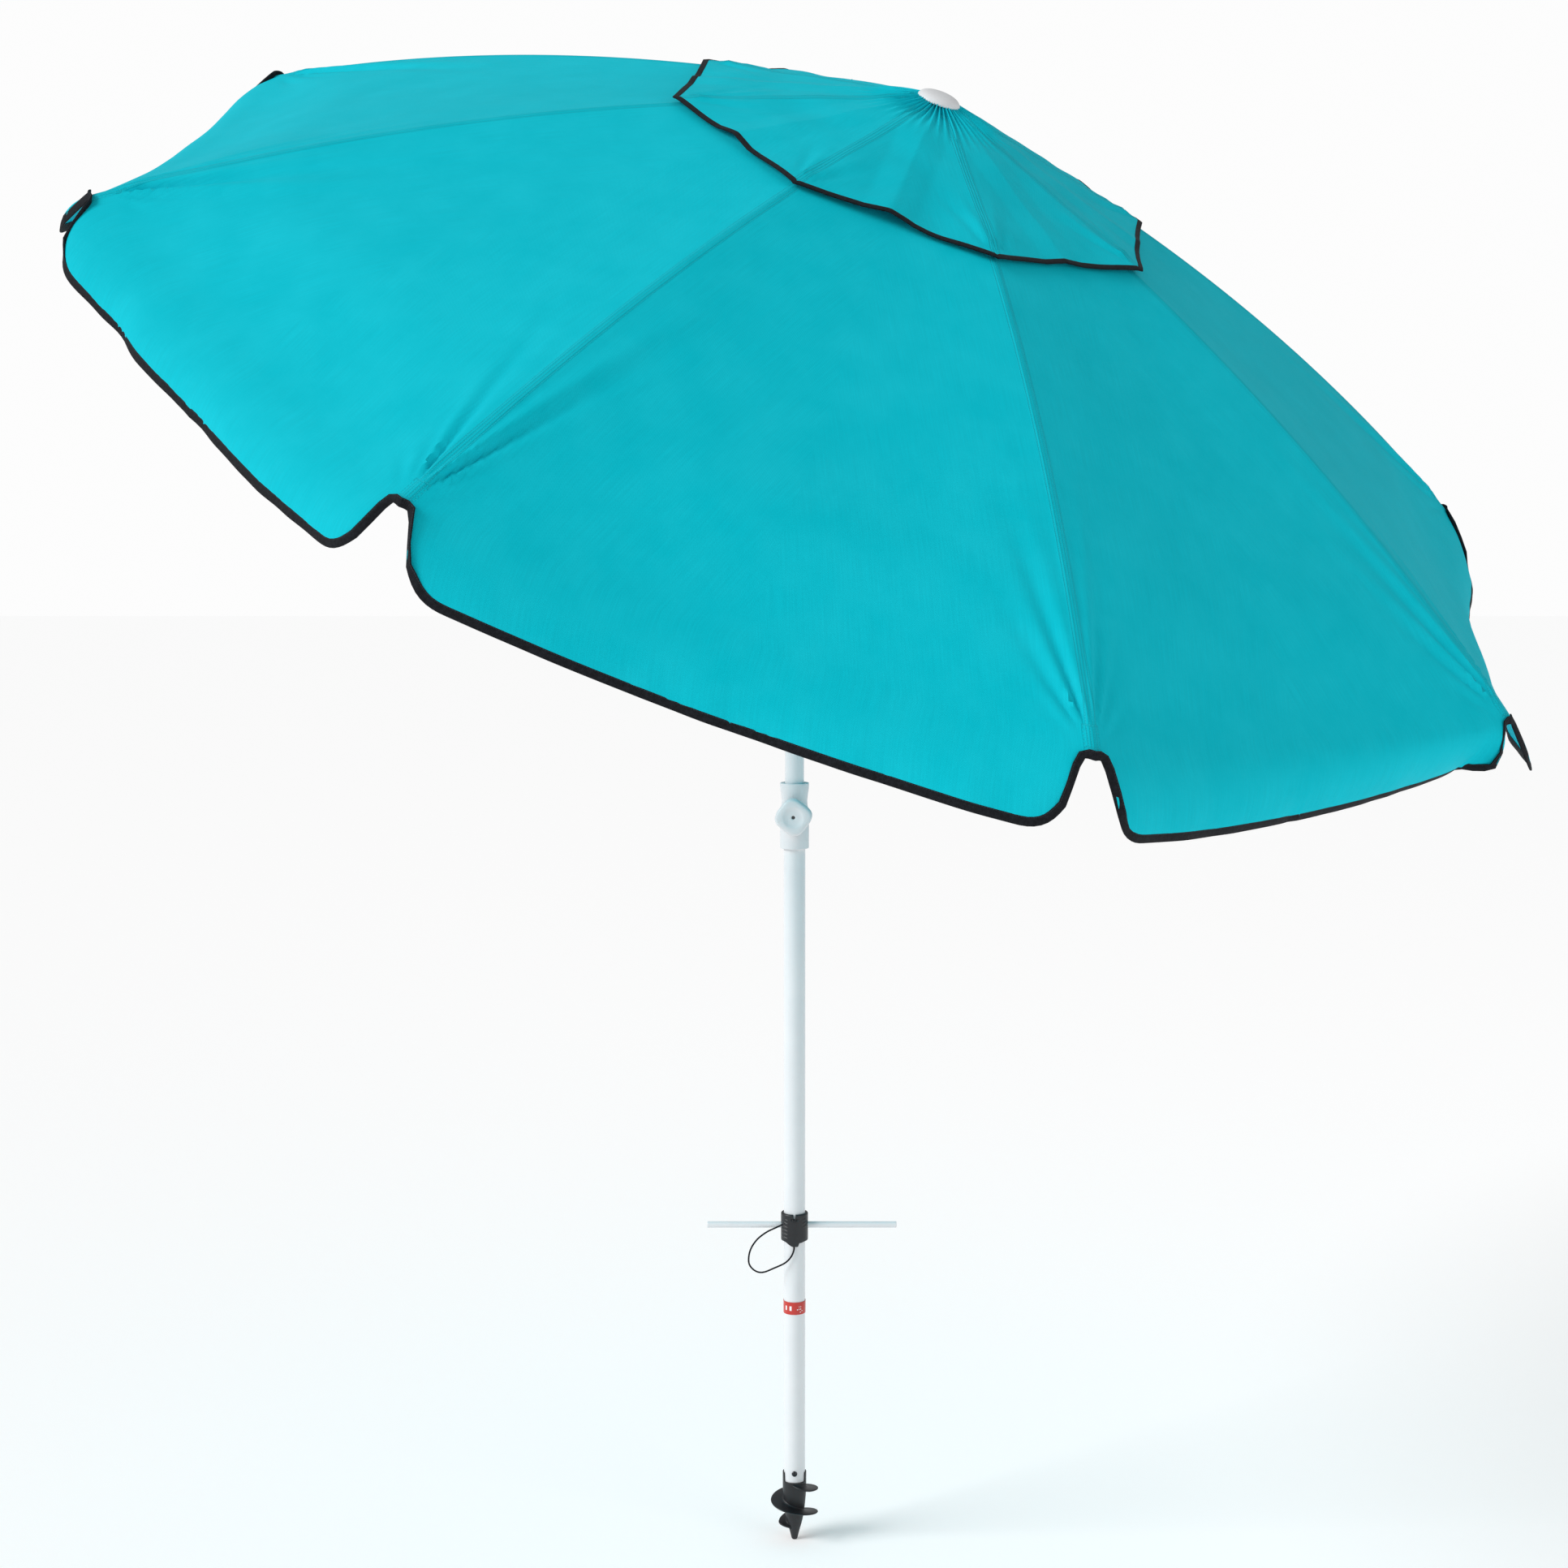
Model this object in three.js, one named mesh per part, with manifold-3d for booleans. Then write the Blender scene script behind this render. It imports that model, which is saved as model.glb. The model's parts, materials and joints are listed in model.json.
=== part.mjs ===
// A tilting beach umbrella with a screw-in sand anchor, in millimetres, +Z up.
// The origin is the tip of the anchor, and the lower pole stands on the Z axis.
import * as THREE from "three";
import { mergeVertices } from "three/addons/utils/BufferGeometryUtils.js";
import Module from "manifold-3d";

const wasm = await Module();
wasm.setup();

// ---- Driving dimensions ----

// Clearances
const gap = 0.3; // between pieces that are fixed to each other
const slideGap = 0.4; // between pieces that slide or turn on each other
const clothGap = 0.7; // between the cloth and the frame under it
const longestClothFacet = 148; // along a rib, so that no facet sinks to the rib

// Sand anchor
const anchorTipRadius = 3.5;
const socketFloor = 70; // height of the socket's floor above the tip
const socketFrontTop = 94;
const socketSideTop = 107;
const socketWall = 1.6;
const shoulderInset = 1.9; // how much narrower the core is than the socket above it
const socketTabHalfAngle = 28; // degrees each side of the X axis that keep the full wall height
const plugTop = 124;
const bladeRadius = 36;
const bladePitch = 36.5;
const bladeStartAngle = 262; // degrees, seen from above
const bladeEndAngle = 955;
const bladeStartHeight = 90;
const bladeRootThickness = 4.4;
const bladeEdgeThickness = 1.8;
const bladeRootDepth = 1; // how far the blade's root sinks into the core
const screwHeight = 108;
const screwShankRadius = 1.9;
const screwHeadRadius = 4.2;
const screwHeadHeight = 2.4;
const screwDepth = 8.5; // how far the shank reaches past the outside of the tube

// Lower pole and band
const lowerPoleRadius = 16;
const poleWall = 1.2;
const lowerPoleTop = 1098;
const bandHeight = 365; // middle of the band
const bandWidth = 19;
const bandThickness = 0.4;

// Cross handle, its holder and cord
const holderHeight = 490; // axis of the cross handle
const holderRadius = 20.3;
const holderAbove = 20;
const holderBelow = 22.5;
const holderLobeDrop = 6.5;
const holderLobeWidth = 18;
const holderNotchWidth = 4;
const holderNotchDepth = 7;
const handleRadius = 4.75;
const handleLength = 284;
const handleShift = 11; // the rod sits this far off centre
const cordRadius = 1.3;

// Height lock
const collarBottom = 1060;
const collarTop = 1157;
const collarRadius = 21.3;
const collarWaistRadius = 18.8;
const knobHeight = 1110;
const knobAngle = 267.5; // degrees, seen from above
const knobAcrossFlats = 48;
const knobCornerRadius = 14;
const knobThickness = 17;
const knobBack = 27; // distance of the knob's back face from the pole axis
const knobTwist = 8; // degrees
const knobDishRadius = 15;
const knobDishDepth = 2.6;
const knobEyeRadius = 2.7;
const studRadius = 4;
const studLength = 24.3;
const nutAcrossFlats = 13;
const nutThickness = 6.2;
const bossRadius = 12;
const bossFront = 26;

// Upper pole
const upperPoleRadius = 14;
const upperPoleBottom = 930;
const glideLength = 12;
const glideSpigot = 20;

// Tilt joint
const tiltHeight = 1576;
const tiltAngle = 28.5; // degrees that the canopy leans at rest
const tiltDirection = 312.5; // degrees, seen from above
const tiltBarrelRadius = 14.5;
const tiltBelow = 45; // from the pivot down to the end of the upper pole
const tiltAbove = 45; // from the pivot up to the end of the canopy pole
const tiltSpigot = 28;
const tongueThickness = 12;
const tongueRadius = 12;
const tiltPinRadius = 3;
const tiltPinHeadRadius = 5.5;
const tiltPinHeadHeight = 2;
const buttonRadius = 4.5;
const buttonProud = 4;
const buttonLength = 9;
const buttonDrop = 29; // below the pivot
const springRadius = 3;
const springWire = 0.45;
const springTurns = 4;

// Canopy pole, crown and runner, in the canopy's own frame (origin at the tilt pivot)
const canopyPoleRadius = 12.5;
const ribCount = 8;
const ribPhase = 199; // azimuth of rib_1 in degrees
const crownHeight = 590; // pivots of the ribs
const ringPivotRadius = 20;
const ringRadius = 25;
const ringHalfHeight = 6;
const slotInnerRadius = 16.2;
const wireRadius = 1;
const poleAboveCrown = 12;
const runnerRadius = 16;
const runnerBelow = 30;
const latchHeight = 20;
const latchProud = 3.2;
const latchThickness = 2;

// Ribs and stretchers
const ribTipRadius = 1047;
const ribTipHeight = 200;
const ribSagitta = 44;
const ribRadius = 2.5;
const eyeThickness = 2.4;
const eyeRadius = 3.2;
const rodStart = 10; // from the pivot to the full rod
const ribJointAt = 250; // along the rib
const ribJointDrop = 7;
const stretcherRadius = 2.2;
const forkLength = 12;
const forkCheek = 1.4;
const forkRadius = 3.6;
const rivetRadius = 1.4;
const rivetHeadRadius = 2.8;
const rivetHeadHeight = 1;

// Cover
const clothThickness = 1.2;
const ventOpeningRadius = 235;
const tipOverhang = 6;
const hemDrop = 106;
const hemBelly = 4; // extra drop at mid panel
const hemInset = 85; // distance from a tip to the full drop
const hemFlare = 0.62;
const ventRadius = 357;
const ventEdgeRise = 10.32; // from the rib under it
const ventTopRadius = 15;
const ventTopRise = 16; // from the ribs' pivots
const finialRadius = 30;
const finialNeckRadius = 13.2;
const finialDome = 12;

// ---- Values worked out from them ----

const socketInner = lowerPoleRadius + gap;
const socketOuter = socketInner + socketWall;
const lowerPoleBore = lowerPoleRadius - poleWall;
const upperPoleBore = upperPoleRadius - poleWall;
const canopyPoleBore = canopyPoleRadius - poleWall;
const upperPoleTop = tiltHeight - tiltBelow;
const eyeBore = wireRadius + slideGap + 0.1;
const slotWidth = eyeThickness + 2 * slideGap;
const runnerBore = canopyPoleRadius + slideGap;

// ---- Helpers ----

const rad = THREE.MathUtils.degToRad;

function signedVolume(positions, index) {
  const a = new THREE.Vector3();
  const b = new THREE.Vector3();
  const c = new THREE.Vector3();
  let sum = 0;
  for (let i = 0; i < index.length; i += 3) {
    a.fromArray(positions, 3 * index[i]);
    b.fromArray(positions, 3 * index[i + 1]);
    c.fromArray(positions, 3 * index[i + 2]);
    sum += a.dot(b.cross(c));
  }
  return sum / 6;
}

// A closed geometry as a manifold-3d solid, its faces turned outwards.
function solid(geometry) {
  const flat = geometry.index ? geometry.toNonIndexed() : geometry.clone();
  const bare = new THREE.BufferGeometry();
  bare.setAttribute("position", flat.getAttribute("position"));
  const merged = mergeVertices(bare, 1e-3);
  const vertProperties = new Float32Array(merged.attributes.position.array);
  const triVerts = new Uint32Array(merged.index.array);
  if (signedVolume(vertProperties, triVerts) < 0) {
    for (let i = 0; i < triVerts.length; i += 3) {
      const second = triVerts[i + 1];
      triVerts[i + 1] = triVerts[i + 2];
      triVerts[i + 2] = second;
    }
  }
  return new wasm.Manifold(new wasm.Mesh({ numProp: 3, vertProperties, triVerts }));
}

function join(...solids) {
  return solids.reduce((whole, next) => whole.add(next));
}

function cut(body, ...tools) {
  return tools.reduce((whole, tool) => whole.subtract(tool), body);
}

function geometryOf(body) {
  const made = body.getMesh();
  const positions = new Float32Array(made.numVert * 3);
  for (let i = 0; i < made.numVert; i++) {
    for (let k = 0; k < 3; k++) {
      positions[3 * i + k] = made.vertProperties[i * made.numProp + k];
    }
  }
  const geometry = new THREE.BufferGeometry();
  geometry.setAttribute("position", new THREE.BufferAttribute(positions, 3));
  geometry.setIndex(new THREE.BufferAttribute(new Uint32Array(made.triVerts), 1));
  geometry.computeVertexNormals();
  return geometry;
}

// A profile of [radius, height] pairs turned about Z.
function turned(profile, segments = 32) {
  const points = profile.map(([r, z]) => new THREE.Vector2(r, z));
  return solid(new THREE.LatheGeometry(points, segments).rotateX(Math.PI / 2));
}

function cylinder(radius, low, high, segments = 32) {
  return turned([[0, low], [radius, low], [radius, high], [0, high]], segments);
}

function tube(outer, inner, low, high, segments = 32) {
  const section = [[inner, low], [outer, low], [outer, high], [inner, high], [inner, low]];
  return turned(section, segments);
}

function block(x0, x1, y0, y1, z0, z1) {
  const box = new THREE.BoxGeometry(x1 - x0, y1 - y0, z1 - z0);
  return solid(box.translate((x0 + x1) / 2, (y0 + y1) / 2, (z0 + z1) / 2));
}

// Turns a solid that stands on Z so that it points along X.
function alongX(body) {
  return body.rotate([0, 90, 0]);
}

// Turns a solid that stands on Z so that it points along Y.
function alongY(body) {
  return body.rotate([-90, 0, 0]);
}

// A flat shape drawn in X and Z, as thick as stated and centred on Y = 0.
function plate(shape, thickness) {
  const settings = { depth: thickness, bevelEnabled: false, curveSegments: 5 };
  const made = new THREE.ExtrudeGeometry(shape, settings);
  return solid(made.translate(0, 0, -thickness / 2).rotateX(Math.PI / 2));
}

// A rod of round section along a curve.
function rod(curve, radius, sides, steps) {
  const section = new THREE.Shape();
  for (let i = 0; i < sides; i++) {
    const turn = (2 * Math.PI * (i + 0.5)) / sides;
    const at = [radius * Math.cos(turn), radius * Math.sin(turn)];
    if (i) section.lineTo(...at);
    else section.moveTo(...at);
  }
  section.closePath();
  return solid(new THREE.ExtrudeGeometry(section, { steps, bevelEnabled: false, extrudePath: curve }));
}

class FormulaCurve extends THREE.Curve {
  constructor(place) {
    super();
    this.place = place;
  }
  getPoint(t, target = new THREE.Vector3()) {
    return target.copy(this.place(t));
  }
}

// A sheet of even thickness below a grid of points: rows of equal length.
function sheetBelow(rows, thickness) {
  const high = rows.length;
  const wide = rows[0].length;
  const normals = rows.map((row) => row.map(() => new THREE.Vector3()));
  const faceNormal = new THREE.Vector3();
  const side = new THREE.Vector3();
  for (let i = 0; i + 1 < high; i++) {
    for (let j = 0; j + 1 < wide; j++) {
      faceNormal.subVectors(rows[i + 1][j + 1], rows[i][j]);
      side.subVectors(rows[i + 1][j], rows[i][j + 1]);
      faceNormal.cross(side).normalize();
      for (const [a, b] of [[i, j], [i + 1, j], [i, j + 1], [i + 1, j + 1]]) {
        normals[a][b].add(faceNormal);
      }
    }
  }
  const positions = [];
  rows.forEach((row) => row.forEach((p) => positions.push(p.x, p.y, p.z)));
  rows.forEach((row, i) => {
    row.forEach((p, j) => {
      const under = p.clone().addScaledVector(normals[i][j].normalize(), thickness);
      positions.push(under.x, under.y, under.z);
    });
  });
  const index = [];
  const under = high * wide;
  const quad = (a, b, c, d) => index.push(a, b, c, a, c, d);
  for (let i = 0; i + 1 < high; i++) {
    for (let j = 0; j + 1 < wide; j++) {
      const a = i * wide + j;
      quad(a, a + wide, a + wide + 1, a + 1);
      quad(under + a, under + a + 1, under + a + wide + 1, under + a + wide);
    }
    const left = i * wide;
    const right = left + wide - 1;
    quad(left, under + left, under + left + wide, left + wide);
    quad(right, right + wide, under + right + wide, under + right);
  }
  for (let j = 0; j + 1 < wide; j++) {
    const last = (high - 1) * wide + j;
    quad(j, j + 1, under + j + 1, under + j);
    quad(last, under + last, under + last + 1, last + 1);
  }
  const geometry = new THREE.BufferGeometry();
  geometry.setAttribute("position", new THREE.Float32BufferAttribute(positions, 3));
  geometry.setIndex(index);
  return solid(geometry);
}

// ---- Materials ----

const looks = {
  whiteTube: { color: 0xdfe1e2, roughness: 0.35, metalness: 0.1 },
  whitePlastic: { color: 0xd9dbdc, roughness: 0.5, metalness: 0 },
  blackPlastic: { color: 0x0d1014, roughness: 0.55, metalness: 0 },
  blackSteel: { color: 0x2b2f33, roughness: 0.35, metalness: 0.9 },
  bareSteel: { color: 0xa9acae, roughness: 0.3, metalness: 1 },
  brass: { color: 0xb08d4a, roughness: 0.35, metalness: 1 },
  redPrint: { color: 0xc02822, roughness: 0.4, metalness: 0 },
  elastic: { color: 0x111215, roughness: 0.85, metalness: 0 },
  turquoiseCloth: { color: 0x00b4c4, roughness: 0.85, metalness: 0 },
};

function node(name, body, look, parent) {
  const material = new THREE.MeshStandardMaterial(looks[look]);
  const mesh = new THREE.Mesh(geometryOf(body), material);
  mesh.name = name;
  parent.add(mesh);
  return mesh;
}

const umbrella = new THREE.Group();

// ---- Ground end ----

function smooth(t) {
  const held = THREE.MathUtils.clamp(t, 0, 1);
  return held * held * (3 - 2 * held);
}

// Core of the anchor: radius at each height, from the tip up.
const coreProfile = [
  [anchorTipRadius, 0],
  [anchorTipRadius + 1, 1.5],
  [7, 12],
  [13, 33],
  [socketOuter - shoulderInset, 55],
  [socketOuter, socketFloor + 8],
];

function coreRadius(height) {
  for (let i = 1; i < coreProfile.length; i++) {
    const [r0, z0] = coreProfile[i - 1];
    const [r1, z1] = coreProfile[i];
    if (height <= z1) return r0 + ((r1 - r0) * (height - z0)) / (z1 - z0);
  }
  return socketOuter;
}

// The auger blade: a tapering section swept down a left-handed helix.
function anchorBlade() {
  const steps = 42;
  const positions = [];
  const index = [];
  for (let i = 0; i <= steps; i++) {
    const degrees = bladeStartAngle + ((bladeEndAngle - bladeStartAngle) * i) / steps;
    const turn = rad(degrees);
    const height = bladeStartHeight - (bladePitch * (degrees - bladeStartAngle)) / 360;
    const core = coreRadius(height);
    const opening = smooth((degrees - bladeStartAngle + 8) / 60);
    const narrowing = 1 - 0.32 * smooth((degrees - 700) / 200);
    const closing = smooth((bladeEndAngle + 6 - degrees) / 70);
    const outer = core + 0.8 + (bladeRadius * narrowing - core - 0.8) * opening * closing;
    const inner = core - bladeRootDepth;
    for (const [radius, half] of [
      [inner, bladeRootThickness / 2],
      [outer, bladeEdgeThickness / 2],
    ]) {
      for (const side of [-1, 1]) {
        positions.push(radius * Math.cos(turn), radius * Math.sin(turn), height + side * half);
      }
    }
    if (i < steps) {
      const a = 4 * i;
      for (const [p, q] of [[0, 2], [2, 3], [3, 1], [1, 0]]) {
        index.push(a + p, a + q, a + 4 + q, a + p, a + 4 + q, a + 4 + p);
      }
    }
  }
  const last = 4 * steps;
  index.push(0, 1, 3, 0, 3, 2, last, last + 2, last + 3, last, last + 3, last + 1);
  const geometry = new THREE.BufferGeometry();
  geometry.setAttribute("position", new THREE.Float32BufferAttribute(positions, 3));
  geometry.setIndex(index);
  return solid(geometry);
}

function buildGroundEnd() {
  const plugRadius = lowerPoleBore - gap;
  const core = turned([
    [0, 0],
    ...coreProfile,
    [socketOuter, socketFrontTop],
    [socketInner, socketFrontTop],
    [socketInner, socketFloor],
    [plugRadius, socketFloor],
    [plugRadius, plugTop - 2],
    [plugRadius - 2, plugTop],
    [0, plugTop],
  ]);
  const tabWedge = new THREE.Shape();
  const reach = socketOuter * 2;
  tabWedge.moveTo(0, 0);
  tabWedge.lineTo(reach, -reach * Math.tan(rad(socketTabHalfAngle)));
  tabWedge.lineTo(reach, reach * Math.tan(rad(socketTabHalfAngle)));
  tabWedge.closePath();
  const wedgeSettings = { depth: socketSideTop - socketFloor, bevelEnabled: false };
  const wedgeGeometry = new THREE.ExtrudeGeometry(tabWedge, wedgeSettings);
  const wedge = solid(wedgeGeometry.translate(0, 0, socketFloor));
  const ring = tube(socketOuter, socketInner, socketFrontTop - 2, socketSideTop);
  const tabs = join(ring.intersect(wedge), ring.intersect(wedge.rotate([0, 0, 180])));
  const screwHole = alongY(cylinder(screwShankRadius + gap, 0, screwDepth + 4, 16));
  const screwAt = [0, -lowerPoleRadius - 3, screwHeight];
  node(
    "sand_anchor",
    cut(join(core, anchorBlade(), tabs), screwHole.translate(screwAt)),
    "blackPlastic",
    umbrella,
  );

  const head = lowerPoleRadius + gap;
  const screw = turned(
    [
      [0, -screwHeadHeight],
      [screwHeadRadius - 1.2, -screwHeadHeight],
      [screwHeadRadius, -screwHeadHeight + 1.4],
      [screwHeadRadius, 0],
      [screwShankRadius, 0],
      [screwShankRadius, screwDepth],
      [0, screwDepth],
    ],
    16,
  );
  node("anchor_screw", alongY(screw).translate([0, -head, screwHeight]), "blackSteel", umbrella);

  const handleHole = alongX(cylinder(handleRadius + slideGap, -30, 30, 24)).translate([0, 0, holderHeight]);
  const lowerPole = cut(
    tube(lowerPoleRadius, lowerPoleBore, socketFloor + gap, lowerPoleTop),
    handleHole,
    alongY(cylinder(screwShankRadius + gap, -20, 10, 16)).translate([0, -lowerPoleRadius, screwHeight]),
  );
  node("lower_pole", lowerPole, "whiteTube", umbrella);

  const bandInner = lowerPoleRadius + gap;
  const band = tube(
    bandInner + bandThickness,
    bandInner,
    bandHeight - bandWidth / 2,
    bandHeight + bandWidth / 2,
  );
  node("depth_band", band, "redPrint", umbrella);

  buildHandle(handleHole);
}

function buildHandle(handleHole) {
  const inner = lowerPoleRadius + gap;
  const low = holderHeight - holderBelow;
  const high = holderHeight + holderAbove;
  const sleeve = turned([
    [inner, low],
    [holderRadius - 1, low],
    [holderRadius, low + 1],
    [holderRadius, high - 2],
    [holderRadius - 2, high],
    [inner, high],
    [inner, low],
  ]);
  const lobeRing = tube(holderRadius, inner, low - holderLobeDrop, low + 4);
  const half = holderLobeWidth / 2;
  const frontBlock = block(-half, half, -holderRadius - 1, 0, low - holderLobeDrop, low + 4);
  const lobe = lobeRing.intersect(frontBlock);
  const notch = block(
    -holderNotchWidth / 2,
    holderNotchWidth / 2,
    -holderRadius - 1,
    0,
    high - holderNotchDepth,
    high + 1,
  );
  node("handle_holder", cut(join(sleeve, lobe), handleHole, notch), "blackPlastic", umbrella);

  const ends = handleLength / 2;
  const cross = turned(
    [
      [0, -ends],
      [handleRadius - 0.6, -ends],
      [handleRadius, -ends + 0.6],
      [handleRadius, ends - 0.6],
      [handleRadius - 0.6, ends],
      [0, ends],
    ],
    20,
  );
  node("t_handle", alongX(cross).translate([handleShift, 0, holderHeight]), "whiteTube", umbrella);

  // Route of the elastic loop, from the holder's left side round to its lobe.
  const route = [
    [-18.5, -9.6, 492.5],
    [-27, -10.5, 488.5],
    [-41, -11.5, 482],
    [-54.5, -12.5, 472],
    [-63.6, -13.5, 460],
    [-67.9, -14.3, 448],
    [-68.2, -15, 435],
    [-63, -15.7, 426.6],
    [-54.5, -16.4, 421.7],
    [-44.8, -17, 422],
    [-30.3, -18, 428.3],
    [-14.5, -19, 436.2],
    [-5.3, -19, 445.6],
    [-1.2, -18.6, 455],
    [-0.7, -18.3, 460.7],
  ];
  const curve = new THREE.CatmullRomCurve3(route.map((p) => new THREE.Vector3(...p)));
  node("handle_cord", rod(curve, cordRadius, 8, 44), "elastic", umbrella);
}

// ---- Height lock ----

function buildHeightLock() {
  const bore = upperPoleRadius + slideGap;
  const seat = lowerPoleRadius + gap;
  const shoulder = lowerPoleTop + gap;
  const body = turned([
    [seat, collarBottom],
    [collarRadius - 0.8, collarBottom],
    [collarRadius, collarBottom + 0.8],
    [collarRadius, knobHeight + 2],
    [collarWaistRadius, knobHeight + 16],
    [collarWaistRadius, collarTop - 26],
    [collarRadius, collarTop - 5],
    [collarRadius, collarTop - 1],
    [collarRadius - 1, collarTop],
    [bore, collarTop],
    [bore, shoulder],
    [seat, shoulder],
    [seat, collarBottom],
  ]);
  const nutBack = bossFront - nutThickness;
  const hexRadius = nutAcrossFlats / 2 / Math.cos(Math.PI / 6);
  const boss = alongX(cylinder(bossRadius, bore + 1, bossFront));
  const studHole = alongX(cylinder(studRadius + gap, 0, bossFront + 1, 24));
  const pocket = alongX(cylinder(hexRadius + gap, nutBack - gap, bossFront + 1, 6));
  const room = cylinder(bore, shoulder, collarTop);
  const turn = (made) => made.rotate([0, 0, knobAngle]).translate([0, 0, knobHeight]);
  node(
    "height_collar",
    cut(join(body, turn(boss)), room, turn(studHole), turn(pocket)),
    "whitePlastic",
    umbrella,
  );

  const nutBore = cylinder(studRadius + gap, 0, bossFront + 1, 24);
  const nut = cut(cylinder(hexRadius, nutBack, bossFront, 6), nutBore);
  node("clamp_nut", turn(alongX(nut)), "brass", umbrella);

  const studStart = upperPoleRadius + slideGap;
  node(
    "knob_stud",
    turn(alongX(cylinder(studRadius, studStart, studStart + studLength, 24))),
    "bareSteel",
    umbrella,
  );

  const half = knobAcrossFlats / 2;
  const inset = half - knobCornerRadius;
  const face = new THREE.Shape();
  for (let i = 0; i < 4; i++) {
    const middle = Math.PI / 4 + (i * Math.PI) / 2;
    const centre = new THREE.Vector2(inset, inset).rotateAround(new THREE.Vector2(), middle - Math.PI / 4);
    face.absarc(centre.x, centre.y, knobCornerRadius, middle - Math.PI / 4, middle + Math.PI / 4, false);
  }
  face.closePath();
  const edge = 3;
  const knobGeometry = new THREE.ExtrudeGeometry(face, {
    depth: knobThickness - 2 * edge,
    bevelThickness: edge,
    bevelSize: edge,
    bevelOffset: -edge,
    bevelSegments: 3,
    curveSegments: 6,
  });
  const front = knobBack + knobThickness;
  const dish = turned(
    [
      [0, front - knobDishDepth],
      [knobDishRadius * 0.5, front - knobDishDepth * 0.8],
      [knobDishRadius * 0.85, front - knobDishDepth * 0.3],
      [knobDishRadius, front + 0.1],
      [0, front + 0.1],
    ],
    32,
  );
  const knob = cut(
    solid(knobGeometry.rotateZ(rad(45 + knobTwist)).translate(0, 0, knobBack + edge)),
    dish,
    cylinder(studRadius + gap, knobBack - 1, studStart + studLength + gap, 24),
    cylinder(knobEyeRadius, knobBack, front + 1, 16),
  );
  node("height_knob", turn(alongX(knob)), "whitePlastic", umbrella);
}

// ---- Upper pole and tilt joint ----

// The fork or tongue outline round the tilt pivot, drawn in X and Z.
function tongueOutline(reach) {
  const outline = new THREE.Shape();
  outline.moveTo(tongueRadius, reach);
  outline.lineTo(-tongueRadius, reach);
  outline.lineTo(-tongueRadius, 0);
  outline.absarc(0, 0, tongueRadius, Math.PI, 2 * Math.PI, false);
  outline.closePath();
  return outline;
}

function buildUpperPole() {
  const upperPole = tube(upperPoleRadius, upperPoleBore, upperPoleBottom, upperPoleTop);
  node("upper_pole", upperPole, "whiteTube", umbrella);

  const glide = turned([
    [0, upperPoleBottom - gap - glideLength],
    [lowerPoleBore - slideGap, upperPoleBottom - gap - glideLength],
    [lowerPoleBore - slideGap, upperPoleBottom - gap],
    [upperPoleBore - gap, upperPoleBottom - gap],
    [upperPoleBore - gap, upperPoleBottom + glideSpigot],
    [0, upperPoleBottom + glideSpigot],
  ]);
  node("upper_pole_glide", glide, "blackPlastic", umbrella);

  const lowerTilt = new THREE.Group();
  lowerTilt.position.z = tiltHeight;
  lowerTilt.rotation.z = rad(tiltDirection);
  umbrella.add(lowerTilt);

  const barrelTop = -tongueRadius - 3;
  const barrel = turned([
    [0, -tiltBelow - tiltSpigot],
    [upperPoleBore - gap, -tiltBelow - tiltSpigot],
    [upperPoleBore - gap, -tiltBelow + gap],
    [tiltBarrelRadius, -tiltBelow + gap],
    [tiltBarrelRadius, barrelTop - 1],
    [tiltBarrelRadius - 1, barrelTop],
    [0, barrelTop],
  ]);
  // The tongue is the fork's outline turned over, so that its round end is on top.
  const tongue = plate(tongueOutline(-barrelTop + 2), tongueThickness).rotate([180, 0, 0]);
  const pinHole = alongY(cylinder(tiltPinRadius + gap, -20, 20, 24));
  const buttonHole = alongX(cylinder(buttonRadius + slideGap, -tiltBarrelRadius - 1, 0, 20));
  node(
    "tilt_lower_fitting",
    cut(join(barrel, tongue), pinHole, buttonHole.translate([0, 0, -buttonDrop])),
    "whitePlastic",
    lowerTilt,
  );

  const buttonOuter = -tiltBarrelRadius - buttonProud;
  const button = turned(
    [
      [0, buttonOuter],
      [buttonRadius - 1.2, buttonOuter],
      [buttonRadius, buttonOuter + 1.2],
      [buttonRadius, buttonOuter + buttonLength],
      [0, buttonOuter + buttonLength],
    ],
    20,
  );
  node("tilt_button", alongX(button).translate([0, 0, -buttonDrop]), "blackPlastic", lowerTilt);

  const springStart = buttonOuter + buttonLength + gap + springWire;
  const springLength = -gap - springWire - springStart;
  const coil = new FormulaCurve((t) => {
    const turn = 2 * Math.PI * springTurns * t;
    return new THREE.Vector3(
      springStart + springLength * t,
      springRadius * Math.cos(turn),
      springRadius * Math.sin(turn),
    );
  });
  const spring = rod(coil, springWire, 6, springTurns * 14);
  node("tilt_button_spring", spring.translate([0, 0, -buttonDrop]), "bareSteel", lowerTilt);
}

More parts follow.
